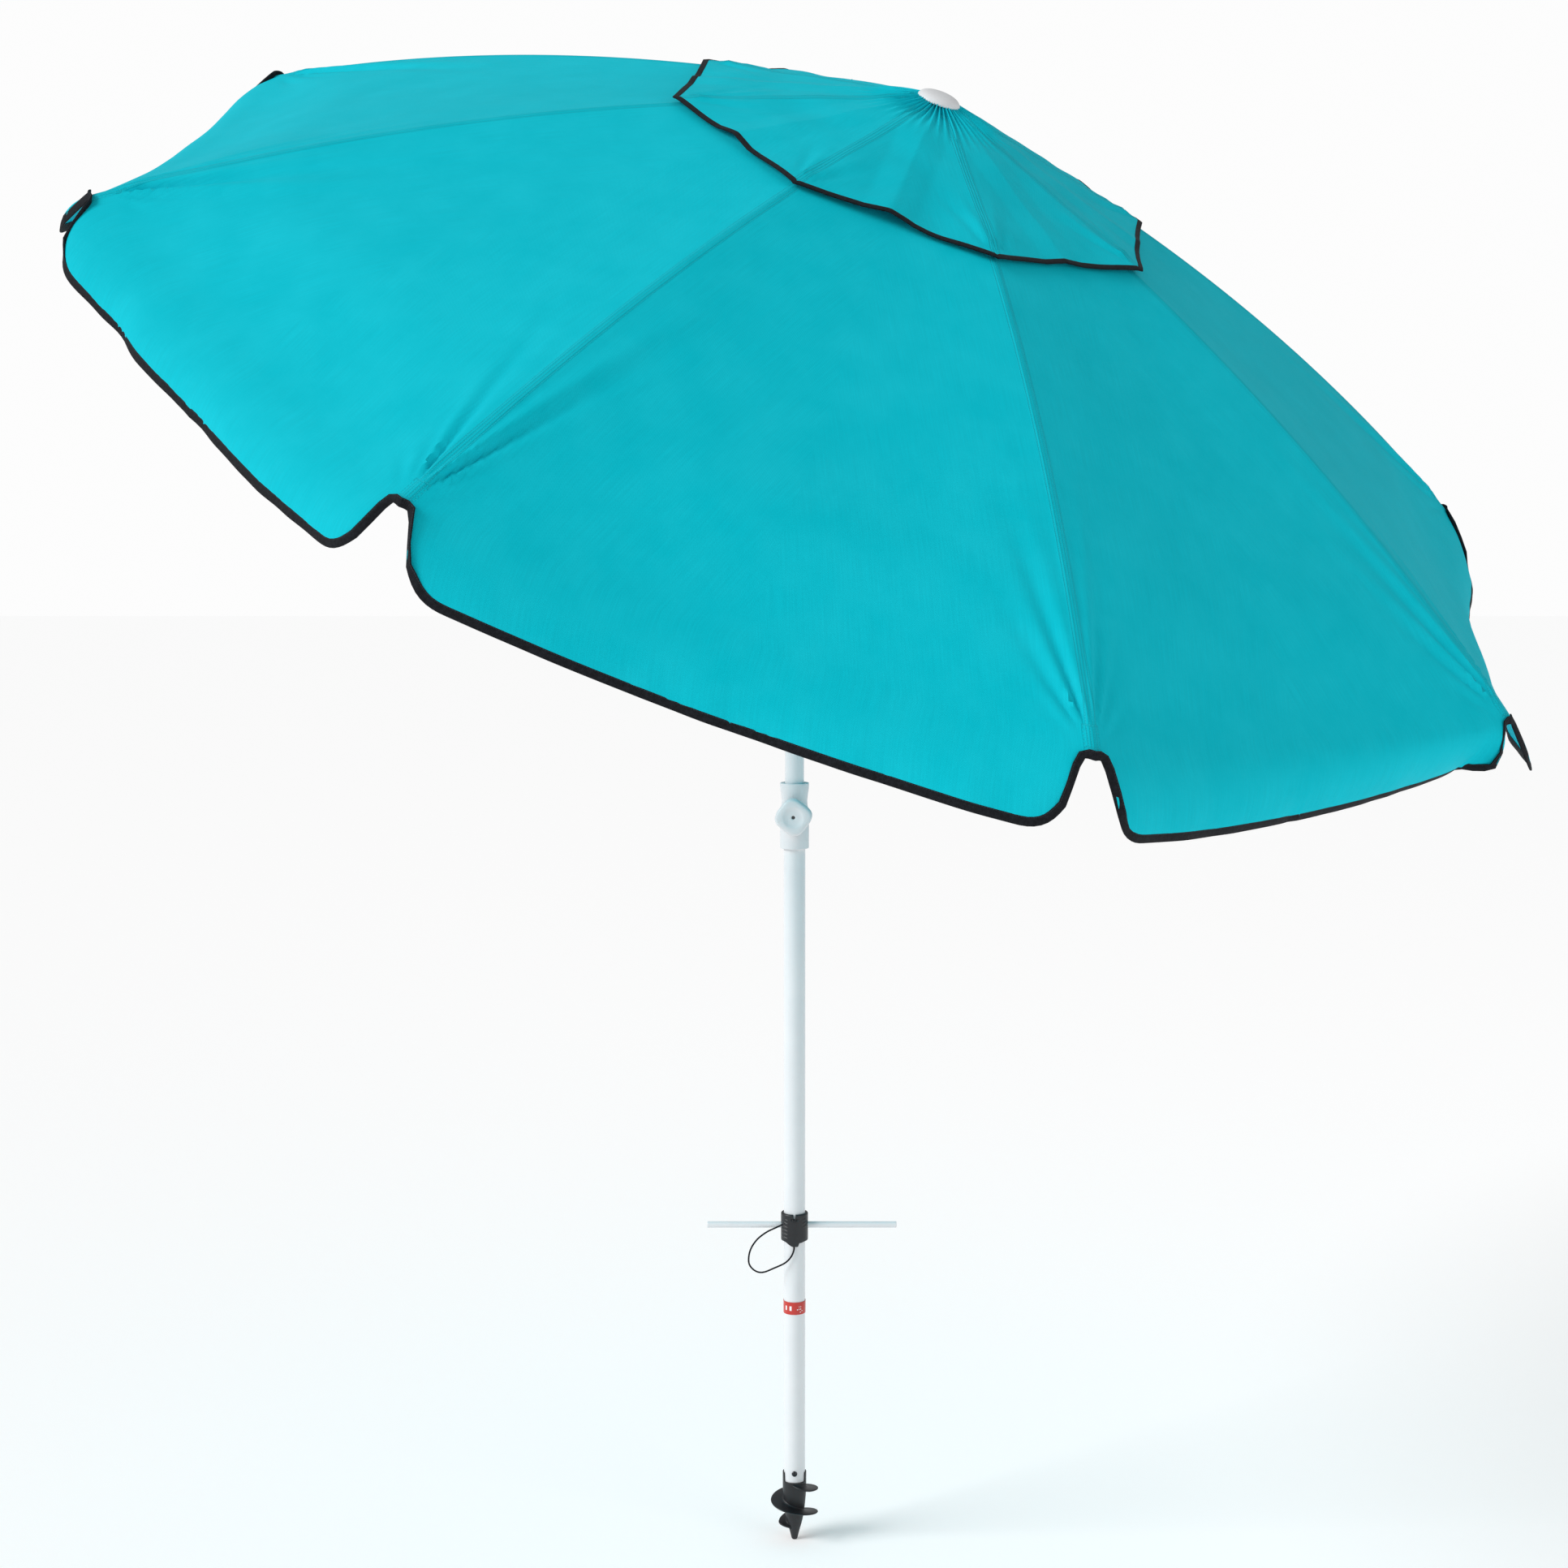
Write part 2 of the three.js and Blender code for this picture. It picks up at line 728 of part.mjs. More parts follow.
function buildTiltTop(frame) {
  const top = new THREE.Group();
  top.rotation.z = rad(tiltDirection);
  frame.add(top);

  const forkTop = tongueRadius + 4;
  const slotHalf = tongueThickness / 2 + slideGap;
  const cheekHalf = tiltBarrelRadius - 1.5;
  const barrel = turned([
    [0, forkTop],
    [tiltBarrelRadius - 1, forkTop],
    [tiltBarrelRadius, forkTop + 1],
    [tiltBarrelRadius, tiltAbove - gap],
    [canopyPoleBore - gap, tiltAbove - gap],
    [canopyPoleBore - gap, tiltAbove + tiltSpigot],
    [0, tiltAbove + tiltSpigot],
  ]);
  const cheeks = cut(
    plate(tongueOutline(forkTop + 2), 2 * cheekHalf),
    block(-tongueRadius - 1, tongueRadius + 1, -slotHalf, slotHalf, -tongueRadius - 1, tongueRadius + 1),
  );
  const pinHole = alongY(cylinder(tiltPinRadius + gap, -20, 20, 24));
  node("tilt_upper_fitting", cut(join(barrel, cheeks), pinHole), "whitePlastic", top);

  const pinHead = cheekHalf + gap;
  const pinEnd = pinHead + tiltPinHeadHeight;
  const pin = turned(
    [
      [0, -pinEnd],
      [tiltPinHeadRadius, -pinEnd],
      [tiltPinHeadRadius, -pinHead],
      [tiltPinRadius, -pinHead],
      [tiltPinRadius, pinHead],
      [tiltPinHeadRadius, pinHead],
      [tiltPinHeadRadius, pinEnd],
      [0, pinEnd],
    ],
    24,
  );
  node("tilt_pin", alongY(pin), "bareSteel", top);
}

// ---- Canopy frame ----

// The rib's centre line in its own plane: X outwards, Z up, t from the crown pivot to the tip.
const ribSpan = new THREE.Vector2(ribTipRadius - ringPivotRadius, ribTipHeight - crownHeight);
const ribChord = ribSpan.length();
const ribBendRadius = (ribChord * ribChord) / (8 * ribSagitta) + ribSagitta / 2;
const ribHalfAngle = Math.asin(ribChord / 2 / ribBendRadius);
const ribLength = 2 * ribHalfAngle * ribBendRadius;
const chordAngle = Math.atan2(ribSpan.y, ribSpan.x);

function ribPoint(t, lift = 0) {
  const lean = ribHalfAngle * (2 * t - 1);
  const along = (ribBendRadius + lift) * Math.sin(lean) + ribChord / 2;
  const out = (ribBendRadius + lift) * Math.cos(lean) - (ribBendRadius - ribSagitta);
  return new THREE.Vector3(
    ringPivotRadius + along * Math.cos(chordAngle) - out * Math.sin(chordAngle),
    0,
    crownHeight + along * Math.sin(chordAngle) + out * Math.cos(chordAngle),
  );
}

function ribSlope(t) {
  return chordAngle - ribHalfAngle * (2 * t - 1);
}

// Height of the rib's centre line at a distance from the pole.
function ribHeightAt(radius) {
  const below = ribBendRadius - ribSagitta;
  const centreX = ringPivotRadius + (ribChord / 2) * Math.cos(chordAngle) + below * Math.sin(chordAngle);
  const centreZ = crownHeight + (ribChord / 2) * Math.sin(chordAngle) - below * Math.cos(chordAngle);
  return centreZ + Math.sqrt(ribBendRadius ** 2 - (radius - centreX) ** 2);
}

const ventTopHeight = crownHeight + ventTopRise;
const ventEdgeHeight = ribHeightAt(ventRadius) + ventEdgeRise;
const crownPivot = new THREE.Vector3(ringPivotRadius, 0, crownHeight);
const jointShare = ribJointAt / ribLength;
const ribJoint = ribPoint(jointShare, -ribJointDrop);
// Stretchers are as long as the crown pivot is from the rib joint, so the fold keeps constant ratios.
const stretcherLength = ribJoint.distanceTo(crownPivot);
const openAngle = Math.atan2(crownPivot.z - ribJoint.z, ribJoint.x - crownPivot.x);
const runnerHeight = crownHeight - 2 * stretcherLength * Math.sin(openAngle);

// A flat eye round the Y axis at the origin, reaching along +X.
function eye(reach) {
  const outline = new THREE.Shape();
  outline.moveTo(0, -eyeRadius);
  outline.lineTo(reach, -ribRadius + 0.4);
  outline.lineTo(reach, ribRadius - 0.4);
  outline.lineTo(0, eyeRadius);
  outline.absarc(0, 0, eyeRadius, Math.PI / 2, (3 * Math.PI) / 2, false);
  outline.closePath();
  return plate(outline, eyeThickness);
}

function eyeHole(radius) {
  return alongY(cylinder(radius, -10, 10, 10));
}

function makeRib() {
  const start = rodStart / ribLength;
  const shaft = rod(new FormulaCurve((t) => ribPoint(start + (1 - start) * t)), ribRadius, 8, 11);
  const slopeAtStart = THREE.MathUtils.radToDeg(-ribSlope(0));
  const place = crownPivot.toArray();
  const eyeEnd = eye(rodStart + 4).rotate([0, slopeAtStart, 0]).translate(place);
  const bracketShape = new THREE.Shape();
  bracketShape.moveTo(5, ribJointDrop);
  bracketShape.lineTo(-5, ribJointDrop);
  bracketShape.lineTo(-forkRadius, 0);
  bracketShape.absarc(0, 0, forkRadius, Math.PI, 2 * Math.PI, false);
  bracketShape.closePath();
  const slopeAtJoint = THREE.MathUtils.radToDeg(-ribSlope(jointShare));
  const bracket = plate(bracketShape, eyeThickness);
  const bracketPlaced = bracket.rotate([0, slopeAtJoint, 0]).translate(ribJoint.toArray());
  return cut(
    join(shaft, eyeEnd, bracketPlaced),
    eyeHole(eyeBore).translate(place),
    eyeHole(rivetRadius + slideGap).translate(ribJoint.toArray()),
  );
}

function makeStretcher() {
  const cheekInner = eyeThickness / 2 + slideGap;
  const cheekOuter = cheekInner + forkCheek;
  const forkShape = new THREE.Shape();
  forkShape.moveTo(forkLength + 6, -stretcherRadius);
  forkShape.lineTo(forkLength + 6, stretcherRadius);
  forkShape.lineTo(0, forkRadius);
  forkShape.absarc(0, 0, forkRadius, Math.PI / 2, (3 * Math.PI) / 2, false);
  forkShape.closePath();
  const fork = cut(
    plate(forkShape, 2 * cheekOuter),
    block(-forkRadius - 1, forkLength - 3, -cheekInner, cheekInner, -6, 6),
    eyeHole(rivetRadius + slideGap),
  );
  const rodLength = stretcherLength - forkLength - rodStart;
  const shaft = alongX(cylinder(stretcherRadius, forkLength, forkLength + rodLength, 8));
  const farEye = cut(eye(rodStart + 4), eyeHole(eyeBore)).rotate([0, 180, 0]);
  const eyeEnd = farEye.translate([stretcherLength, 0, 0]);
  const whole = join(fork, shaft, eyeEnd);
  // From the rib joint the stretcher runs inwards and down to the runner pivot.
  const turn = 180 - THREE.MathUtils.radToDeg(openAngle);
  return whole.rotate([0, turn, 0]).translate(ribJoint.toArray());
}

function makeRivet() {
  const shoulder = eyeThickness / 2 + slideGap + forkCheek + gap;
  const end = shoulder + rivetHeadHeight;
  const rivet = turned(
    [
      [0, -end],
      [rivetHeadRadius - 0.5, -end],
      [rivetHeadRadius, -shoulder],
      [rivetRadius, -shoulder],
      [rivetRadius, shoulder],
      [rivetHeadRadius, shoulder],
      [rivetHeadRadius - 0.5, end],
      [0, end],
    ],
    12,
  );
  return alongY(rivet).translate(ribJoint.toArray());
}

// The slotted ring that carries the wire, centred on Z = 0.
function slottedRing(bore) {
  const ring = tube(ringRadius, bore, -ringHalfHeight, ringHalfHeight, 40);
  const groove = tube(
    ringRadius + 2,
    ringPivotRadius - wireRadius - slideGap,
    -wireRadius - slideGap,
    wireRadius + slideGap,
    40,
  );
  let made = cut(ring, groove);
  const half = slotWidth / 2;
  const high = ringHalfHeight + 1;
  const slot = block(slotInnerRadius, ringRadius + 2, -half, half, -high, high);
  for (let k = 0; k < ribCount; k++) {
    made = cut(made, slot.rotate([0, 0, ribPhase + (360 / ribCount) * k]));
  }
  return made;
}

function wireRing() {
  return solid(new THREE.TorusGeometry(ringPivotRadius, wireRadius, 6, 36));
}

function buildFrame(frame) {
  const latchTop = runnerHeight - runnerBelow - gap;
  const latchAngle = tiltDirection + 180;
  const latchSlot = block(
    canopyPoleBore - 2,
    canopyPoleRadius + 2,
    -latchThickness / 2 - gap,
    latchThickness / 2 + gap,
    latchTop - latchHeight - 1,
    latchTop + gap,
  );
  const canopyPole = cut(
    tube(canopyPoleRadius, canopyPoleBore, tiltAbove, crownHeight + poleAboveCrown),
    latchSlot.rotate([0, 0, latchAngle]),
  );
  node("canopy_pole", canopyPole, "whiteTube", frame);

  const latchShape = new THREE.Shape();
  latchShape.moveTo(canopyPoleBore - gap, latchTop - latchHeight - 10);
  latchShape.lineTo(canopyPoleBore - gap, latchTop - latchHeight);
  latchShape.lineTo(canopyPoleRadius + latchProud, latchTop - 4);
  latchShape.lineTo(canopyPoleRadius + latchProud, latchTop);
  latchShape.lineTo(canopyPoleBore - 4, latchTop);
  latchShape.lineTo(canopyPoleBore - 4, latchTop - latchHeight - 10);
  latchShape.closePath();
  node("runner_latch", plate(latchShape, latchThickness).rotate([0, 0, latchAngle]), "bareSteel", frame);

  const crown = slottedRing(canopyPoleRadius + gap).translate([0, 0, crownHeight]);
  node("crown_hub", crown, "whitePlastic", frame);
  node("crown_wire", wireRing().translate([0, 0, crownHeight]), "bareSteel", frame);

  const grip = turned([
    [runnerBore, -runnerBelow],
    [runnerRadius - 0.8, -runnerBelow],
    [runnerRadius, -runnerBelow + 0.8],
    [runnerRadius, ringHalfHeight],
    [runnerBore, ringHalfHeight],
    [runnerBore, -runnerBelow],
  ]);
  const runner = join(grip, slottedRing(runnerBore)).translate([0, 0, runnerHeight]);
  node("runner", runner, "whitePlastic", frame);
  node("runner_wire", wireRing().translate([0, 0, runnerHeight]), "bareSteel", frame);

  const rib = makeRib();
  const stretcher = makeStretcher();
  const rivet = makeRivet();
  for (let k = 0; k < ribCount; k++) {
    const turn = [0, 0, ribPhase + (360 / ribCount) * k];
    node(`rib_${k + 1}`, rib.rotate(turn), "whiteTube", frame);
    node(`rib_rivet_${k + 1}`, rivet.rotate(turn), "bareSteel", frame);
    node(`stretcher_${k + 1}`, stretcher.rotate(turn), "whiteTube", frame);
  }
}

// ---- Cover ----

const leanAxis = new THREE.Vector3(-Math.sin(rad(tiltDirection)), Math.cos(rad(tiltDirection)), 0);
const lean = new THREE.Quaternion().setFromAxisAngle(leanAxis, rad(tiltAngle));
// Straight down in the world, seen from the canopy's own frame at rest.
const plumb = new THREE.Vector3(0, 0, -1).applyQuaternion(lean.clone().invert());
const aroundZ = new THREE.Vector3(0, 0, 1);

// How far the hem hangs below the chord between two tips, at a distance from the nearer tip.
function hemDepth(distance, halfPanel) {
  const corner = smooth(distance / hemInset) * (hemDrop - tipOverhang) + tipOverhang;
  return corner + hemBelly * Math.sin((Math.PI / 2) * Math.min(distance / halfPanel, 1));
}

// One gore of cloth, centred on rib k and reaching half a panel to each side.
function makeGore(k) {
  const azimuth = rad(ribPhase + (360 / ribCount) * k);
  const halfStep = Math.PI / ribCount;
  const lift = ribRadius + clothGap + clothThickness;
  const opening = (ventOpeningRadius - ringPivotRadius) / (ribTipRadius - ringPivotRadius);
  const shares = [0, 0.06, 0.12, 0.2, 0.5, 1];
  const columns = [...shares.slice(1).reverse().map((s) => -s), ...shares];
  const ribRows = 1 + Math.ceil(((1 - opening) * ribLength) / longestClothFacet);
  const rows = [];
  const onPanel = (t, share) => {
    const at = ribPoint(t, lift);
    const toMiddle = at.x * Math.sin(halfStep) - gap / 2;
    const across = toMiddle * Math.abs(share);
    const local = new THREE.Vector3(
      at.x - across * Math.sin(halfStep),
      Math.sign(share) * across * Math.cos(halfStep),
      at.z,
    );
    return local.applyAxisAngle(aroundZ, azimuth);
  };
  for (let i = 0; i < ribRows; i++) {
    const t = opening + ((1 - opening) * i) / (ribRows - 1);
    rows.push(columns.map((share) => onPanel(t, share)));
  }
  const halfPanel = ribPoint(1, lift).x * Math.sin(halfStep);
  for (const v of [0.3, 0.6, 1]) {
    rows.push(
      columns.map((share) => {
        const edge = onPanel(1, share);
        const slope = edge.clone().sub(onPanel(0.98, share)).normalize();
        const depth = hemDepth(halfPanel * Math.abs(share), halfPanel);
        const bend = edge.clone().addScaledVector(slope, depth * hemFlare);
        const end = bend.clone().addScaledVector(plumb, depth * (1 - hemFlare));
        return edge
          .multiplyScalar((1 - v) * (1 - v))
          .addScaledVector(bend, 2 * v * (1 - v))
          .addScaledVector(end, v * v);
      }),
    );
  }
  return sheetBelow(rows, clothThickness);
}

function buildCover(frame) {
  for (let k = 0; k < ribCount; k++) {
    node(`canopy_gore_${k + 1}`, makeGore(k), "turquoiseCloth", frame);
  }

  const vent = turned(
    [
      [ventTopRadius, ventTopHeight],
      [ventRadius, ventEdgeHeight],
      [ventRadius, ventEdgeHeight + clothThickness],
      [ventTopRadius, ventTopHeight + clothThickness],
      [ventTopRadius, ventTopHeight],
    ],
    ribCount,
  );
  // A lathe of eight segments has a corner on the X axis, so turning it by the phase puts one on each rib.
  node("vent_canopy", vent.rotate([0, 0, ribPhase]), "turquoiseCloth", frame);

  const poleTop = crownHeight + poleAboveCrown;
  const ventSlope = (ventTopHeight - ventEdgeHeight) / (ventRadius - ventTopRadius);
  const fall = ventSlope * (finialRadius - finialNeckRadius);
  const under = ventTopHeight + clothThickness + clothGap;
  const rim = under - fall;
  const finial = turned([
    [0, poleTop - 20],
    [canopyPoleBore - gap, poleTop - 20],
    [canopyPoleBore - gap, poleTop + gap],
    [finialNeckRadius, poleTop + gap],
    [finialNeckRadius, under],
    [finialRadius, rim],
    [finialRadius, rim + 2],
    [finialRadius * 0.9, rim + finialDome * 0.55],
    [finialRadius * 0.7, rim + finialDome * 0.82],
    [finialRadius * 0.35, rim + finialDome * 0.97],
    [0, rim + finialDome],
  ]);
  node("finial", finial, "whitePlastic", frame);
}

// ---- Assembly ----

buildGroundEnd();
buildHeightLock();
buildUpperPole();

const canopy = new THREE.Group();
canopy.position.z = tiltHeight;
canopy.quaternion.copy(lean);
umbrella.add(canopy);

buildTiltTop(canopy);
buildFrame(canopy);
buildCover(canopy);

export default umbrella;
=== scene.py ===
import json
import math
import bmesh
import bpy
from mathutils import Matrix, Vector, noise


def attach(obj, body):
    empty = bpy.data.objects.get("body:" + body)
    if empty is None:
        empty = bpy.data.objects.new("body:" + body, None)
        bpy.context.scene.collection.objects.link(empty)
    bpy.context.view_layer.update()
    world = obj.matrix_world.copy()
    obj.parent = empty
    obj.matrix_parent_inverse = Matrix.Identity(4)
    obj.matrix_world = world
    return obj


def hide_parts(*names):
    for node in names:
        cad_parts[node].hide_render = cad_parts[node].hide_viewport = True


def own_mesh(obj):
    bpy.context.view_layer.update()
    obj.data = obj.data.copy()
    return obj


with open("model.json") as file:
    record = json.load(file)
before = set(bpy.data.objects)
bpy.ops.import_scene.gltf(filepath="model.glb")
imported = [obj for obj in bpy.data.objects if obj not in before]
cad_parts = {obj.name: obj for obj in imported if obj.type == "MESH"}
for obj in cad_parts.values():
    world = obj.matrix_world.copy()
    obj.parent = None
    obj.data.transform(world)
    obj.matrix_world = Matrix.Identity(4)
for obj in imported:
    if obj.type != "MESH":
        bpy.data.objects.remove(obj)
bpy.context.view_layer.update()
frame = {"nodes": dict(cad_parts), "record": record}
scene = bpy.context.scene
print("frame loaded")

# Camera
camera = {"place": (0.0, -3.81, 1.58), "pitch": 6.4, "lens": 59.8, "shift": (-0.0067, 0.001)}
cameraData = bpy.data.cameras.new("camera")
cameraData.lens = camera["lens"]
cameraData.shift_x, cameraData.shift_y = camera["shift"]
cameraObject = bpy.data.objects.new("camera", cameraData)
cameraObject.location = camera["place"]
cameraObject.rotation_euler = (math.radians(90 - camera["pitch"]), 0, 0)
scene.collection.objects.link(cameraObject)
scene.camera = cameraObject


def smooth(t):
    held = min(max(t, 0.0), 1.0)
    return held * held * (3 - 2 * held)


def mix(a, b, share):
    return a + (b - a) * share


def hump(value, middle, halfWidth):  # 1 at the middle, falling smoothly to 0 at the half width
    return 1 - smooth(abs(value - middle) / halfWidth)


# Materials

def newMaterial(name, colour, roughness, metallic=0.0):
    material = bpy.data.materials.new(name)
    material.use_nodes = True
    shader = material.node_tree.nodes["Principled BSDF"]
    shader.inputs["Base Color"].default_value = (*colour, 1)
    shader.inputs["Roughness"].default_value = roughness
    shader.inputs["Metallic"].default_value = metallic
    return material, shader


def addNode(tree, kind, **settings):
    node = tree.nodes.new(kind)
    for name, value in settings.items():
        setattr(node, name, value)
    return node


def feed(tree, node, socket, source):  # a number, a colour or an output socket
    if isinstance(source, bpy.types.NodeSocket):
        tree.links.new(source, node.inputs[socket])
    else:
        node.inputs[socket].default_value = source


def doMath(tree, operation, first, second=0.0, third=0.0):
    node = addNode(tree, "ShaderNodeMath", operation=operation)
    for socket, source in enumerate((first, second, third)):
        feed(tree, node, socket, source)
    return node.outputs[0]


def blendColours(tree, share, first, second):
    node = addNode(tree, "ShaderNodeMix", data_type="RGBA")
    feed(tree, node, "Factor", share)
    feed(tree, node, 6, first)
    feed(tree, node, 7, second)
    return node.outputs[2]


def rescale(tree, value, low, high, newLow, newHigh):
    node = addNode(tree, "ShaderNodeMapRange")
    feed(tree, node, "Value", value)
    for socket, number in enumerate((low, high, newLow, newHigh), start=1):
        node.inputs[socket].default_value = number
    return node.outputs[0]


def newGroup(name, inputs, outputs):
    group = bpy.data.node_groups.new(name, "ShaderNodeTree")
    for title, kind, value in inputs:
        socket = group.interface.new_socket(title, in_out="INPUT", socket_type=kind)
        if value is not None:
            socket.default_value = value
    for title, kind in outputs:
        group.interface.new_socket(title, in_out="OUTPUT", socket_type=kind)
    return group, addNode(group, "NodeGroupInput"), addNode(group, "NodeGroupOutput")


def noiseTexture(tree, vector, scale, detail=3.0, roughness=0.5):
    node = addNode(tree, "ShaderNodeTexNoise")
    feed(tree, node, "Vector", vector)
    feed(tree, node, "Scale", scale)
    node.inputs["Detail"].default_value = detail
    node.inputs["Roughness"].default_value = roughness
    return node.outputs["Fac"]


def buildGrainGroup():  # fine moulded or painted grain, with a slow drift of tone
    group, inside, outside = newGroup(
        "grain",
        [("Vector", "NodeSocketVector", None), ("Scale", "NodeSocketFloat", 900.0)],
        [("Grain", "NodeSocketFloat"), ("Drift", "NodeSocketFloat")],
    )
    vector = inside.outputs["Vector"]
    grain = noiseTexture(group, vector, inside.outputs["Scale"], 2.0)
    drift = noiseTexture(group, vector, 14.0, 4.0, 0.6)
    group.links.new(grain, outside.inputs["Grain"])
    group.links.new(drift, outside.inputs["Drift"])
    return group


def buildScuffGroup():  # short fine scratches and rubbed spots
    group, inside, outside = newGroup(
        "scuffs",
        [("Vector", "NodeSocketVector", None), ("Amount", "NodeSocketFloat", 0.3)],
        [("Scuffs", "NodeSocketFloat")],
    )
    vector = inside.outputs["Vector"]
    stretch = addNode(group, "ShaderNodeMapping")
    stretch.inputs["Scale"].default_value = (60, 60, 9)
    group.links.new(vector, stretch.inputs["Vector"])
    lines = noiseTexture(group, stretch.outputs[0], 14.0, 5.0, 0.7)
    where = noiseTexture(group, vector, 22.0, 2.0)
    sharpLines = rescale(group, lines, 0.6, 0.68, 0.0, 1.0)
    sharpWhere = rescale(group, where, 0.5, 0.66, 0.0, 1.0)
    both = doMath(group, "MULTIPLY", sharpLines, sharpWhere)
    group.links.new(doMath(group, "MULTIPLY", both, inside.outputs["Amount"]), outside.inputs[0])
    return group


def buildWeaveGroup():  # over and under of a plain weave on a piece's own UV map, in metres
    group, inside, outside = newGroup(
        "weave",
        [("Vector", "NodeSocketVector", None), ("Pitch", "NodeSocketFloat", 0.0011)],
        [("Height", "NodeSocketFloat"), ("Tone", "NodeSocketFloat")],
    )
    split = addNode(group, "ShaderNodeSeparateXYZ")
    group.links.new(inside.outputs["Vector"], split.inputs[0])
    turns = doMath(group, "DIVIDE", math.pi, inside.outputs["Pitch"])
    warp = doMath(group, "SINE", doMath(group, "MULTIPLY", split.outputs["X"], turns))
    weft = doMath(group, "SINE", doMath(group, "MULTIPLY", split.outputs["Y"], turns))
    group.links.new(doMath(group, "MULTIPLY", warp, weft), outside.inputs["Height"])
    threads = addNode(group, "ShaderNodeMapping")
    threads.inputs["Scale"].default_value = (1, 0.02, 1)
    group.links.new(inside.outputs["Vector"], threads.inputs["Vector"])
    group.links.new(noiseTexture(group, threads.outputs[0], 700.0, 2.0), outside.inputs["Tone"])
    return group


def buildStitchGroup():  # a dashed line of thread: where the first value is near Line
    group, inside, outside = newGroup(
        "stitches",
        [
            ("Across", "NodeSocketFloat", 0.0),
            ("Along", "NodeSocketFloat", 0.0),
            ("Line", "NodeSocketFloat", 0.003),
            ("Width", "NodeSocketFloat", 0.0005),
            ("Pitch", "NodeSocketFloat", 0.0032),
        ],
        [("Thread", "NodeSocketFloat"), ("Furrow", "NodeSocketFloat")],
    )
    beside = doMath(group, "SUBTRACT", inside.outputs["Across"], inside.outputs["Line"])
    offset = doMath(group, "ABSOLUTE", beside)
    near = doMath(group, "LESS_THAN", offset, inside.outputs["Width"])
    step = doMath(group, "FRACT", doMath(group, "DIVIDE", inside.outputs["Along"], inside.outputs["Pitch"]))
    dash = doMath(group, "LESS_THAN", step, 0.7)
    group.links.new(doMath(group, "MULTIPLY", near, dash), outside.inputs["Thread"])
    wide = doMath(group, "DIVIDE", offset, doMath(group, "MULTIPLY", inside.outputs["Width"], 3.5))
    furrow = doMath(group, "SUBTRACT", 1.0, wide)
    group.links.new(doMath(group, "MAXIMUM", furrow, 0.0), outside.inputs["Furrow"])
    return group


grainGroup = buildGrainGroup()
scuffGroup = buildScuffGroup()
weaveGroup = buildWeaveGroup()
stitchGroup = buildStitchGroup()


def placeGroup(tree, group, **values):
    node = addNode(tree, "ShaderNodeGroup", node_tree=group)
    for name, value in values.items():
        feed(tree, node, name, value)
    return node


def addBump(tree, shader, height, strength, distance, before=None):
    bump = addNode(tree, "ShaderNodeBump")
    bump.inputs["Strength"].default_value = strength
    bump.inputs["Distance"].default_value = distance
    feed(tree, bump, "Height", height)
    if before is not None:
        feed(tree, bump, "Normal", before)
    feed(tree, shader, "Normal", bump.outputs[0])
    return bump.outputs[0]


